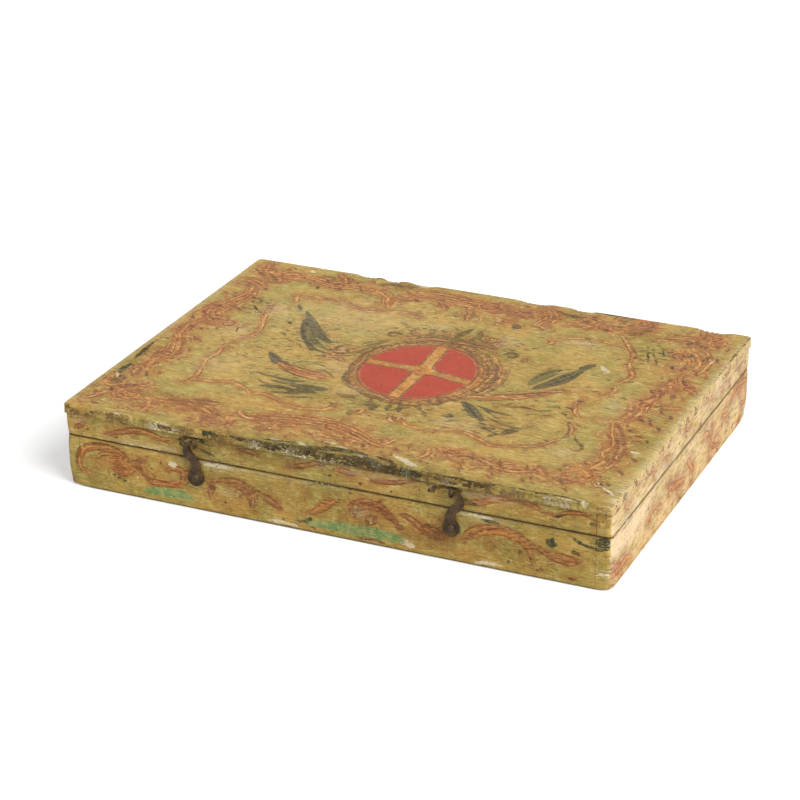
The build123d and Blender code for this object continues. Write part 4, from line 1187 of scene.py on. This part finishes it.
# Scattered quick dabs of the brush. Each place is a middle and a direction in degrees, and the dab's
# number varies its length and width.
def layDabs(layer, tones, size, places):
    dab = [(-0.5, 0), (-0.1, 0.45), (0.35, 0.35), (0.5, 0)]
    for number, (x, y, lean) in enumerate(places):
        c, s = cos(radians(lean)), sin(radians(lean))
        length = size * (0.6 + 0.8 * (number * 0.371 % 1))
        bow = length * (0.45 if number % 2 else -0.35)
        curve = [(x + length * a * c - bow * b * s, y + length * a * s + bow * b * c) for a, b in dab]
        layer.stroke(tones[number % len(tones)], (0.4, 0.65 + 0.6 * (number * 0.618 % 1), 0.3), curve)


# Even but unordered places come from steps of these shares of a run, and of this turn
stepAlong, stepAcross, stepRound = 0.618034, 0.7549, 2.39996


# Places spread over a border that follows the lid's edge, between two distances from it
def borderPlaces(count, near, far):
    places = []
    for number in range(count):
        inset = near + (far - near) * (number * stepAcross % 1)
        wide, tall = lidX - inset, lidY - inset
        run = (number * stepAlong % 1) * 4 * (wide + tall)
        swing = 50 * sin(number * 2.4)
        if run < 4 * wide:
            side = -1 if run < 2 * wide else 1
            places.append((run % (2 * wide) - wide, side * tall, swing))
        else:
            run -= 4 * wide
            side = -1 if run < 2 * tall else 1
            places.append((side * wide, run % (2 * tall) - tall, 90 + swing))
    return places


# Places spread over an oval area: middle, half sizes
def ovalPlaces(count, x, y, wide, tall):
    places = []
    for number in range(count):
        turn, out = number * stepRound, sqrt((number + 0.5) / count)
        places.append((x + wide * out * cos(turn), y + tall * out * sin(turn), 35 * sin(number * 1.7)))
    return places


# Places spread over one face of the case, of the given half length
def facePlaces(count, shift, half):
    places = []
    for number in range(count):
        along = shift + half * (2 * (number * stepAlong % 1) - 1)
        places.append((along, 3 + 43 * (number * stepAcross % 1), 60 * sin(number * 2.4)))
    return places


# Smaller dabs round the oval and its leaves: colours, length, and their number, middle and half sizes
topDabs = [
    (("slate", "leafOlive", "bronze", "umber"), 6, (34, -80, -10, 34, 40)),
    (("leafOlive", "slate", "leafDark", "bronze"), 6, (20, -86, 22, 16, 26)),
    (("umber", "leafOlive", "sand", "bronze", "slate"), 5.5, (40, 20, -64, 62, 12)),
    (("plum", "bronze", "umber", "leafOlive"), 5, (44, 8, 56, 50, 13)),
    (("leafOlive", "umber", "sand", "bronze"), 6, (36, 78, -30, 36, 26)),
    (("slate", "umber", "leafOlive"), 4, (22, 126, 76, 13, 18)),
    (("slate", "umber", "leafOlive"), 4, (16, -136, 54, 10, 14)),
    (("leafOlive", "bronze", "sand"), 5, (40, 0, 84, 110, 12)),
    (("leafOlive", "bronze", "sand"), 5, (30, -116, 10, 18, 60)),
    (("leafOlive", "umber", "sand"), 5, (30, 116, 0, 18, 70)),
]


def paintLidBoard(obj):
    x, y, z = (corners(obj) * 1000).T
    # the edge is painted as if it were folded out flat
    drop = topZ - z
    x = x + np.sign(x) * np.where(abs(x) > lidX - 0.6, drop, 0)
    y = y + np.sign(y) * np.where(abs(y) > lidY - 0.6, drop, 0)
    ink, fine, patch = Layer(x, y), Layer(x, y), Layer(x, y)
    layStrokes(ink, topScrolls + topFrameLine + topLeaves)
    paintOval(ink, fine)
    laySprigs(ink, topScrolls, 8.5)
    layStrokes(ink, crestAndCurls)
    layOutlines(fine, crestAndCurls, "umber")
    layOutlines(fine, topScrolls, "redBrown")
    layCurls(fine, topScrolls)
    layStrokes(fine, leafVeins)
    layDabs(ink, ("rust", "plum", "orange", "redBrown", "amber"), 7.5, borderPlaces(230, 9, 31))
    layDabs(fine, ("redBrown", "umber", "plum", "rust", "brown"), 5.5, borderPlaces(330, 8, 33))
    for tones, size, area in topDabs:
        layDabs(fine, tones, size, ovalPlaces(*area))
    layStrokes(patch, topPatches)
    grime, pale, warm = (softSpots(x, y, spots) for spots in (topGrimeAndShade, topPale, topWarm))
    storePainting(obj, ink, fine, patch, grime, pale, warm)


# The four faces of the case lie side by side on one long strip: front, right, back and left. The back and
# the left repeat the front and the right the other way round. Each row starts with the half length that
# the dabs fill, and the flip.
faceGap = 1000
faceLooks = [
    (170, 1, frontScrolls, frontPatches, frontGrimeAndShade, frontPale, frontWarm),
    (125, 1, rightScrolls, rightPatches, rightGrimeAndShade, rightPale, rightWarm),
    (170, -1, frontScrolls[::-1], frontPatches[9:13], frontGrimeAndShade[12:], frontPale[3:8], frontWarm),
    (125, -1, rightScrolls, rightPatches[1:], rightGrimeAndShade, rightPale[1:], rightWarm),
]


def paintCaseBoard(obj):
    x, y, z = (corners(obj) * 1000).T
    face = np.stack([y + caseY, caseX - x, caseY - y, x + caseX]).argmin(0)
    along = np.choose(face, [x, y, -x, -y]) + face * faceGap
    ink, fine, patch = Layer(along, z), Layer(along, z), Layer(along, z)
    soft = [[], [], []]
    for number, (half, flip, scrolls, patches, *shares) in enumerate(faceLooks):
        shift = number * faceGap
        layStrokes(ink, scrolls, shift, flip)
        layOutlines(fine, scrolls, "redBrown", shift, flip)
        if scrolls is rightScrolls:
            laySprigs(ink, scrolls, 8, shift, flip)
        layDabs(ink, ("rust", "orange", "amber", "redBrown"), 5, facePlaces(12, shift, half))
        layDabs(fine, ("redBrown", "umber", "plum", "brown"), 4, facePlaces(32, shift, half))
        layStrokes(patch, patches, shift, flip)
        for total, spots in zip(soft, shares):
            total.extend((flip * u + shift, *rest) for u, *rest in spots)
    storePainting(obj, ink, fine, patch, *(softSpots(along, z, spots) for spots in soft))


# Old softwood, used inside the box and where the paint has gone
wood = {
    "dull": (118, 88, 56),
    "pale": (164, 132, 90),
    "cloud": (122, 94, 62),
    "stain": (86, 66, 44),
    "darkNearEnds": (80, 62, 42),
    "fibre": 0.42,
    "alongFibre": 0.02,
}


# The wood's grain runs along X, and in the side walls along Y
def woodColour(s, spot):
    x, y, z = s.split(spot)
    inSides = s.step(s.size(x), 164.6, 165.2)
    fine, long = wood["fibre"], wood["alongFibre"]
    alongX = s.grain(s.vector("MULTIPLY", spot, (long, fine, fine)), 1.0, 5, 0.6, 0.8)
    alongY = s.grain(s.vector("MULTIPLY", spot, (fine, long, fine)), 1.0, 5, 0.6, 0.8)
    fibre = alongX * (1 - inSides) + alongY * inSides
    tone = s.tint(paint(*wood["dull"]), s.step(fibre, 0.28, 0.74), wood["pale"])
    tone = s.tint(tone, s.step(s.grain(spot, 34, 3), 0.38, 0.72) * 0.55, wood["cloud"])
    tone = s.tint(tone, s.step(s.grain(spot, 11, 4, 0.7), 0.56, 0.72) * 0.35, wood["stain"])
    # darker near the walls below 12 mm and above 42 mm, low in the box and under the lid's top
    inCorner = s.high(s.size(x) - 158, s.size(y) - 114)
    darkNearEnds = s.step(inCorner, -10, 6) * s.step(z, 12, 5) + s.step(inCorner, -10, 6) * s.step(z, 42, 49)
    return s.tint(tone, darkNearEnds * 0.35, wood["darkNearEnds"])


# The lacquer's own colours, for all the boards
lacquer = {
    "olive": (174, 153, 75),
    "ochre": (198, 159, 80),
    "moss": (132, 127, 70),
    "tan": (158, 118, 54),
    "light": (224, 203, 134),
    # the dark of grime and dirt, also used for the painted shade at the lid board's edges
    "dirtAndShade": (78, 60, 36),
    "dash": (76, 68, 40),
    "gesso": (238, 222, 188),
    "warm": (184, 112, 50),
    "flame": (228, 148, 70),
    "wash": (134, 76, 42),
    "scuffedAndLit": (216, 182, 132),
    "bleachAndLight": (238, 212, 168),
    "deepRed": (150, 34, 36),
    "shine": (232, 174, 106),
    "inkShare": 0.86,
    "roughness": 0.5,
}

# What differs between the lid's top and the sides: how the brush lines and the cracks are drawn out along
# each axis, and how strong the scrolls' threads, their wash and their echoes are
lidLook = {
    "streaks": (0.1, 0.8, 0.8),
    "dashes": (0.34, 1.35, 1.35),
    "threads": 0.78,
    "umberShine": 0.7,
    "paleShine": 0.9,
    "wash": 0.28,
    "echo": 0.55,
    "faded": 0.6,
}
sideLook = {
    "streaks": (0.1, 0.1, 0.9),
    "dashes": (0.34, 0.34, 1.5),
    "threads": 0.55,
    "umberShine": 0.33,
    "paleShine": 0.47,
    "wash": 0.14,
    "echo": 0.2,
    "faded": 0.34,
}


# Starts a lacquer: its place in millimetres, the board's soft shares and the grains that all coats use
def startLacquer(name, look):
    s = Shader(name)
    s.look = look
    s.spot = s.place()
    s.x, s.y, s.z = s.split(s.spot)
    soft = s.node("ShaderNodeSeparateColor", {0: s.attribute("soft", "Color")})
    s.grime, s.pale, s.warm = (Value(s, out) for out in soft.socket.node.outputs)
    s.fray = (s.grain(s.spot, 1.7, 3, 0.6) - 0.5) * 2.2
    s.ragged = s.fray + (s.grain(s.spot, 6.5, 2) - 0.5) * 2.4
    s.broad = s.grain(s.spot, 24, 4, 0.55)
    s.middle = s.grain(s.spot, 6, 4, 0.62)
    s.small = s.grain(s.spot, 1.4, 3, 0.65)
    s.streak = s.grain(s.vector("MULTIPLY", s.spot, look["streaks"]), 1.0, 4, 0.6, 0.3)
    s.dashes = s.grain(s.vector("MULTIPLY", s.spot, look["dashes"]), 1.0, 2, 0.6, 0.4)
    return s


# The ground: mottled olive and ochre, brushed along the box
def groundCoat(s):
    tone = s.tint(paint(*lacquer["olive"]), s.step(s.broad, 0.34, 0.64), lacquer["ochre"])
    tone = s.tint(tone, s.step(s.middle, 0.5, 0.68) * 0.5, lacquer["moss"])
    tone = s.tint(tone, s.step(s.middle, 0.46, 0.3) * 0.4, lacquer["light"])
    tone = s.tint(tone, s.step(s.streak, 0.5, 0.68) * 0.5, lacquer["light"])
    tone = s.tint(tone, s.step(s.streak, 0.5, 0.34) * 0.5, lacquer["tan"])
    tone = s.tint(tone, s.warm * s.step(s.middle + s.broad * 0.5, 0.52, 0.9) * 0.75, lacquer["warm"])
    # the right side is rubbed thin, with the gesso showing through the ground, and painted paler as light
    # falling from the right
    s.onRight = s.step(s.x, caseX - 1.4, caseX - 0.4)
    paledAndLit = s.onRight * (s.step(s.middle * 0.4 + s.streak * 0.6, 0.42, 0.56) * 0.7 + 0.05)
    tone = s.tint(tone, paledAndLit * s.step(s.z, 53.6, 53), lacquer["bleachAndLight"])
    return s.tint(tone, s.onRight * s.step(s.streak + s.middle * 0.3, 0.66, 0.8) * 0.45, inks["pink"])


# The scrolls: threads of rust, flame and pale paint side by side along each stroke. Reds stay plain, and
# the leaves get olive streaks.
def scrollCoat(s, tone):
    look = s.look
    inside = s.attribute("inkInside") + s.fray * 0.45
    across, along = s.attribute("inkAcross"), s.attribute("inkAlong")
    flowSpot = s.node("ShaderNodeCombineXYZ", {0: along * 0.1, 1: across * 0.5, 2: inside * 0.1})
    flow = s.grain(flowSpot, 1.0, 3, 0.55) - 0.5
    thread = s.math("SINE", across * 3.4 + flow * 8)
    shine = s.math("SINE", across * 1.9 + flow * 11 + 1.2)
    inkTone = s.attribute("inkColour", "Color")
    inkRed = s.node("ShaderNodeSeparateColor", {0: inkTone})
    redness = inkRed - s.node("ShaderNodeSeparateColor", {0: inkTone}, 1) * 1.3
    isRed = s.step(redness, 0.42, 0.47)
    isWarm = s.step(redness, 0.075, 0.12) * (1 - isRed)
    isLeaf = s.step(redness, 0.012, -0.005)
    loud = look["threads"]
    inkTone = s.tint(inkTone, s.step(thread, 0.0, 0.8) * isWarm * (0.7 * loud), lacquer["flame"])
    inkTone = s.tint(inkTone, s.step(thread, -0.1, -0.85) * isWarm * (0.8 * loud), inks["redBrown"])
    inkTone = s.tint(inkTone, s.step(shine, -0.7, -0.95) * isWarm * look["umberShine"], inks["umber"])
    inkTone = s.tint(inkTone, s.step(s.streak, 0.46, 0.64) * isRed * 0.5, lacquer["deepRed"])
    inkTone = s.tint(inkTone, s.step(s.middle, 0.5, 0.7) * isRed * 0.3, inks["pink"])
    inkTone = s.tint(inkTone, s.step(shine, 0.45, 0.85) * isWarm * look["paleShine"], lacquer["shine"])
    inkTone = s.tint(inkTone, s.step(s.broad + s.middle * 0.4, 0.66, 0.84) * isWarm * 0.7, inks["plum"])
    leafy = s.step(s.small * 0.4 + s.streak * 0.6, 0.46, 0.6) * isLeaf
    inkTone = s.tint(inkTone, leafy * 0.34, inks["leafOlive"])
    # a thin brown wash round the strokes, and their echoes in orange
    patchy = s.step(s.middle * 0.6 + s.small * 0.4, 0.4, 0.56)
    washed = s.step(inside, -6, 0.2) * patchy * (isWarm * (s.onRight * 0.3 + look["wash"]) + 0.1)
    tone = s.tint(tone, washed, lacquer["wash"])
    echo = s.step(thread, 0.35, 0.9) * s.step(inside, -4.5, -0.8) * isWarm * patchy
    tone = s.tint(tone, echo * look["echo"], inks["orange"])
    # the strokes, rubbed thin in places, and their darker rims
    faded = look["faded"]
    thin = s.step(s.middle * 0.6 + s.streak * 0.4, 0.6, 0.42) * faded + (1 - faded)
    s.inked = s.step(inside, -0.3, 0.35)
    s.solid = s.inked * isRed
    covering = s.inked * s.high(thin, s.high(isRed, isLeaf * 0.8))
    tone = s.mix(covering * lacquer["inkShare"], tone, inkTone)
    rim = s.step(s.size(inside), 0.55, 0.1) * isWarm
    tone = s.tint(tone, rim * s.step(flow, -0.1, 0.06) * 0.35, inks["redBrown"])
    # the fine lines over them
    fineInside = s.attribute("fineInside") + s.fray * 0.35
    worked = s.step(s.small * 0.5 + s.streak * 0.5, 0.62, 0.42) * faded + (1 - faded)
    return s.mix(s.step(fineInside, -0.3, 0.35) * worked * 0.92, tone, s.attribute("fineColour", "Color"))


# Rubbed places, patches of filler and knocks, and grime with painted shade
def patchCoat(s, tone):
    rubbed = s.pale * s.step(s.streak * 0.6 + s.middle * 0.5, 0.42, 0.66)
    tone = s.tint(tone, rubbed * 0.85, lacquer["gesso"])
    s.patched = s.step(s.attribute("patchInside") + s.ragged * 0.9, -0.2, 0.25)
    patchTone = s.attribute("patchColour", "Color")
    isDark = s.step(s.node("ShaderNodeSeparateColor", {0: patchTone}, 1), 0.2, 0.06)
    patchTone = s.tint(patchTone, s.step(s.middle, 0.48, 0.6) * isDark * 0.6, lacquer["moss"])
    patchTone = s.tint(patchTone, s.step(s.middle, 0.56, 0.42) * (1 - isDark) * 0.3, lacquer["light"])
    patchTone = s.tint(patchTone, s.step(s.small, 0.5, 0.66) * (isDark * 0.45 + 0.15), lacquer["tan"])
    patchTone = s.tint(patchTone, s.step(s.dashes, 0.57, 0.68) * 0.34, lacquer["gesso"])
    patchTone = s.tint(patchTone, s.step(s.small, 0.42, 0.3) * 0.5, inks["tar"])
    tone = s.mix(s.patched * 0.94, tone, patchTone)
    dusty = s.step(s.middle * 0.5 + s.small * 0.3 + s.broad * 0.4, 0.46, 0.74)
    return s.tint(tone, s.grime * (dusty * 0.6 + 0.4) * 0.75, lacquer["dirtAndShade"])


# Short dark cracks along the brush lines, pale scuffs, specks of dirt, and a net of fine cracks
def agedCoat(s, tone):
    aged = s.step(s.grain(s.spot, 14, 3), 0.4, 0.62)
    spared = 1 - s.high(s.solid * 0.8, s.onRight * 0.6)
    cracked = s.step(s.dashes, 0.46, 0.33) * (aged * 0.65 + 0.35) * spared
    tone = s.tint(tone, cracked * 0.72, lacquer["dash"])
    tone = s.tint(tone, s.step(s.dashes, 0.58, 0.72) * (1 - s.solid * 0.8) * 0.42, lacquer["light"])
    s.specks = s.step(s.grain(s.spot, 0.9, 2, 0.7), 0.62, 0.72) * aged * (1 - s.solid)
    tone = s.tint(tone, s.specks * 0.7, lacquer["dirtAndShade"])
    swerve = s.node("ShaderNodeTexNoise", {"Vector": s.spot, "Scale": 0.3, "Detail": 2.0}, 1)
    s.crack = s.step(s.fromCellEdge(s.vector("ADD", s.spot, swerve), 3.4), 0.06, 0.0) * aged
    return s.tint(tone, s.crack * 0.4, lacquer["dirtAndShade"])


# The lid board's edge: darker toward its lower edge all round and on its front face, as dirt with painted
# shade under the top edge and at the joint with the rail; paler on the right face, scuffed and with painted
# light from that side; bare wood underneath
def lidEdges(s, tone):
    s.fromEdge = s.low(lidX - s.size(s.x), lidY - s.size(s.y))
    s.bare = s.step(s.z, 48.5, 48.1) * s.step(s.fromEdge + s.ragged * 0.3, 1.0, 1.9)
    # darker toward the board's lower edge: dirt with painted shade where the board meets the rail
    side = s.step(s.z, 50, 48.3) * s.step(s.broad, 0.42, 0.6)
    tone = s.tint(tone, side * 0.4, lacquer["dirtAndShade"])
    # the front face under the top edge darkened: painted shade under the edge, with dirt
    front = s.step(s.y, -129.8, -130.6) * s.step(s.z, 53.6, 52.4)
    tone = s.tint(tone, front * (s.step(s.middle, 0.42, 0.62) * 0.3 + 0.06), lacquer["dirtAndShade"])
    # the right face paler: scuffed, and painted light from the right
    right = s.step(s.x, 173.4, 174.2) * s.step(s.z, 53.2, 52.4)
    return s.tint(tone, right * 0.4, lacquer["scuffedAndLit"])


# The case's edges: painted shade with dirt at the seam between lid and base and along the foot, dark corner
# joints, and bare wood inside
def caseEdges(s, tone):
    fromCorner = s.high(caseX - s.size(s.x), caseY - s.size(s.y))
    fromSeam = s.size(s.z - seamZ)
    depth = s.low(caseX - s.size(s.x), caseY - s.size(s.y))
    s.fromEdge = s.low(s.low(fromCorner, fromSeam), s.z + 0.2)
    s.bare = s.step(depth + s.ragged * 0.3, 1.1, 2.2)
    # painted shade in the seam between lid and base
    tone = s.tint(tone, s.step(fromSeam + s.ragged * 0.25, 1.3, 0.2) * 0.7, inks["umber"])
    # darker along the foot: dirt with painted shade where the box meets the floor, less on the lit right side
    footDirtAndShade = s.step(s.z + s.ragged * 0.25, 1.5, 0.3)
    tone = s.tint(tone, footDirtAndShade * (0.75 - s.onRight * 0.6), inks["umber"])
    joint = s.step(s.size(s.size(s.x) - 165) + s.ragged * 0.08, 0.35, 0.1) * s.step(s.size(s.y), 128.6, 129)
    return s.tint(tone, joint * s.step(s.broad, 0.4, 0.55) * 0.4, lacquer["dirtAndShade"])


def makeLacquer(name, look, edges):
    s = startLacquer(name, look)
    tone = groundCoat(s)
    tone = scrollCoat(s, tone)
    tone = patchCoat(s, tone)
    tone = agedCoat(s, tone)
    tone = edges(s, tone)
    # edges worn to gesso, and the gesso to wood
    mottled = s.middle * 0.5 + s.small * 0.5
    worn = s.step(mottled - s.fromEdge * 0.1, 0.47, 0.53) * s.step(s.fromEdge, 3.2, 1.2)
    woodTone = woodColour(s, s.spot)
    wornTone = s.mix(s.step(s.broad + s.small * 0.4, 0.56, 0.72), paint(*lacquer["gesso"]), woodTone)
    tone = s.mix(s.bare, s.mix(worn * 0.85, tone, wornTone), woodTone)
    dull = s.grime * 0.25 + s.patched * 0.2 + worn * 0.25 + s.bare * 0.3 + s.middle * 0.12
    roughness = s.low(dull + (lacquer["roughness"] - 0.06), 0.9)
    raised = s.broad * 0.25 + s.streak * 0.12 + s.small * 0.06 + s.inked * 0.05
    height = raised - s.crack * 0.08 - s.patched * 0.16 - worn * 0.2 - s.specks * 0.04
    bumped = s.bump(height, 0.001, 0.7)
    return s.finish(Base_Color=tone, Roughness=roughness, Normal=bumped, Specular_IOR_Level=0.2)


# Hand-forged iron with a brown patina, rubbed brighter in spots. The nails are cleaner than the fittings.
forged = {"dark": (46, 34, 22), "light": (98, 76, 48), "rust": (118, 76, 42)}
nailHeads = {"dark": (76, 60, 40), "light": (146, 120, 80), "rust": (130, 86, 50)}
iron = {"rubbed": (158, 130, 88), "pitted": (30, 22, 14), "metal": 0.45}


def makeIron(name, tones):
    s = Shader(name)
    spot = s.place()
    broad, small = s.grain(spot, 7, 5, 0.66), s.grain(spot, 0.7, 3, 0.65)
    tone = s.tint(paint(*tones["dark"]), s.step(broad + small * 0.3, 0.45, 0.85), tones["light"])
    rusty = s.step(s.grain(spot, 2.2, 5, 0.72), 0.54, 0.68)
    tone = s.tint(tone, rusty * 0.5, tones["rust"])
    tone = s.tint(tone, s.step(small, 0.6, 0.74) * 0.4, iron["rubbed"])
    pits = s.step(small, 0.44, 0.3)
    tone = s.tint(tone, pits * 0.5, iron["pitted"])
    rough = 0.44 + rusty * 0.3 + broad * 0.14
    bumped = s.bump(broad * 0.3 - pits * 0.12, 0.0006, 0.7)
    return s.finish(Base_Color=tone, Metallic=iron["metal"], Roughness=rough, Normal=bumped)


lidFinish = makeLacquer("aged_lacquer_top", lidLook, lidEdges)
sideFinish = makeLacquer("aged_lacquer_sides", sideLook, caseEdges)
ironFinish = makeIron("forged_iron", forged)
nailFinish = makeIron("nail_iron", nailHeads)
print("finishes made")

# The painted boards, each in the place of its CAD board
high, seamLow, seamHigh = sizes["boardBottom"], sizes["seamLow"], sizes["seamHigh"]
floorTop = sizes["bottomBoard"]
caseBoards = [
    # name, low corner, high corner, round corners, rims worn round, body
    ("bottom_board", (-halfX, -halfY, 0), (halfX, halfY, floorTop), True, [0.0], "base"),
    ("base_front_wall", (-innerX, -halfY, floorTop), (innerX, -innerY, seamLow), False, [seamLow], "base"),
    ("base_back_wall", (-innerX, innerY, floorTop), (innerX, halfY, seamLow), False, [seamLow], "base"),
    ("base_left_wall", (-halfX, -halfY, floorTop), (-innerX, halfY, seamLow), True, [seamLow], "base"),
    ("base_right_wall", (innerX, -halfY, floorTop), (halfX, halfY, seamLow), True, [seamLow], "base"),
    ("lid_front_rail", (-innerX, -halfY, seamHigh), (innerX, -innerY, high), False, [seamHigh], "lid"),
    ("lid_back_rail", (-innerX, innerY, seamHigh), (innerX, halfY, high), False, [seamHigh], "lid"),
    ("lid_left_rail", (-halfX, -halfY, seamHigh), (-innerX, halfY, high), True, [seamHigh], "lid"),
    ("lid_right_rail", (innerX, -halfY, seamHigh), (halfX, halfY, high), True, [seamHigh], "lid"),
]
for nodeName, low, top, roundCorners, rims, body in caseBoards:
    board = makeBoard("painted_" + nodeName, low, top, roundCorners, rims)
    wave(board, *sizes["waves"])
    wearCorners(board)
    paintCaseBoard(board)
    slotName = "bare_wood" if nodeName == "bottom_board" else "lacquer_sides"
    settle(board, body, sideFinish, nodeName)
    print(nodeName, "painted:", len(board.data.vertices), "vertices")

lidTop = makeLidBoard()
paintLidBoard(lidTop)
settle(lidTop, "lid", lidFinish, "lid_top_board")
print("lid board painted:", len(lidTop.data.vertices), "vertices")

# The fittings keep their CAD shapes and get their finish
for nodeName, node in nodes.items():
    if node.hide_render:
        continue
    if not node.material_slots:
        node.data.materials.append(None)
    for place in node.material_slots:
        place.material = nailFinish if "nails" in nodeName else ironFinish
print("fittings finished")

# Plain floor and soft studio light
light = {
    "world": 0.42,
    "worldTone": (0.94, 0.97, 1.0, 1),
    "sun": 2.95,
    "sunTone": (1.0, 0.985, 0.95),
    "sunFrom": (0.66, -0.24, 0.62),
    "sunSpread": 38,
    "floorTone": (0.8, 0.8, 0.8, 1),
    "floorGlow": 0.38,
}
world = bpy.data.worlds.new("studio")
bpy.context.scene.world = world
world.use_nodes = True
tree = world.node_tree
backdrop = tree.nodes["Background"]
backdrop.inputs["Color"].default_value = light["worldTone"]
backdrop.inputs["Strength"].default_value = light["world"]
whiteBack = tree.nodes.new("ShaderNodeBackground")
whiteBack.inputs["Color"].default_value = (1, 1, 1, 1)
rays = tree.nodes.new("ShaderNodeLightPath")
seen = None
for ray in ("Is Camera Ray", "Is Glossy Ray", "Is Transmission Ray"):
    if seen is None:
        seen = rays.outputs[ray]
        continue
    total = tree.nodes.new("ShaderNodeMath")
    total.operation = "MAXIMUM"
    tree.links.new(seen, total.inputs[0])
    tree.links.new(rays.outputs[ray], total.inputs[1])
    seen = total.outputs[0]
choice = tree.nodes.new("ShaderNodeMixShader")
tree.links.new(seen, choice.inputs[0])
tree.links.new(backdrop.outputs[0], choice.inputs[1])
tree.links.new(whiteBack.outputs[0], choice.inputs[2])
tree.links.new(choice.outputs[0], tree.nodes["World Output"].inputs[0])

sunData = bpy.data.lights.new("studio_sun", "SUN")
sunData.energy = light["sun"]
sunData.angle = radians(light["sunSpread"])
sunData.color = light["sunTone"]
sun = bpy.data.objects.new("studio_sun", sunData)
sun.rotation_euler = Vector(light["sunFrom"]).to_track_quat("Z", "Y").to_euler()
bpy.context.scene.collection.objects.link(sun)

begin()
bpy.ops.mesh.primitive_plane_add(size=6, location=(0, 0, -0.0003))
floor = bpy.context.active_object
floor.name = "studio_floor"
floorShader = Shader("studio_floor")
floorPath = floorShader.node("ShaderNodeLightPath")
floorGlow = floorShader.mix(floorPath, (0, 0, 0, 1), (1, 1, 1, 1))
floorShader.finish(
    Base_Color=light["floorTone"],
    Roughness=0.9,
    Emission_Color=floorGlow,
    Emission_Strength=light["floorGlow"],
)
floor.data.materials.append(floorShader.material)
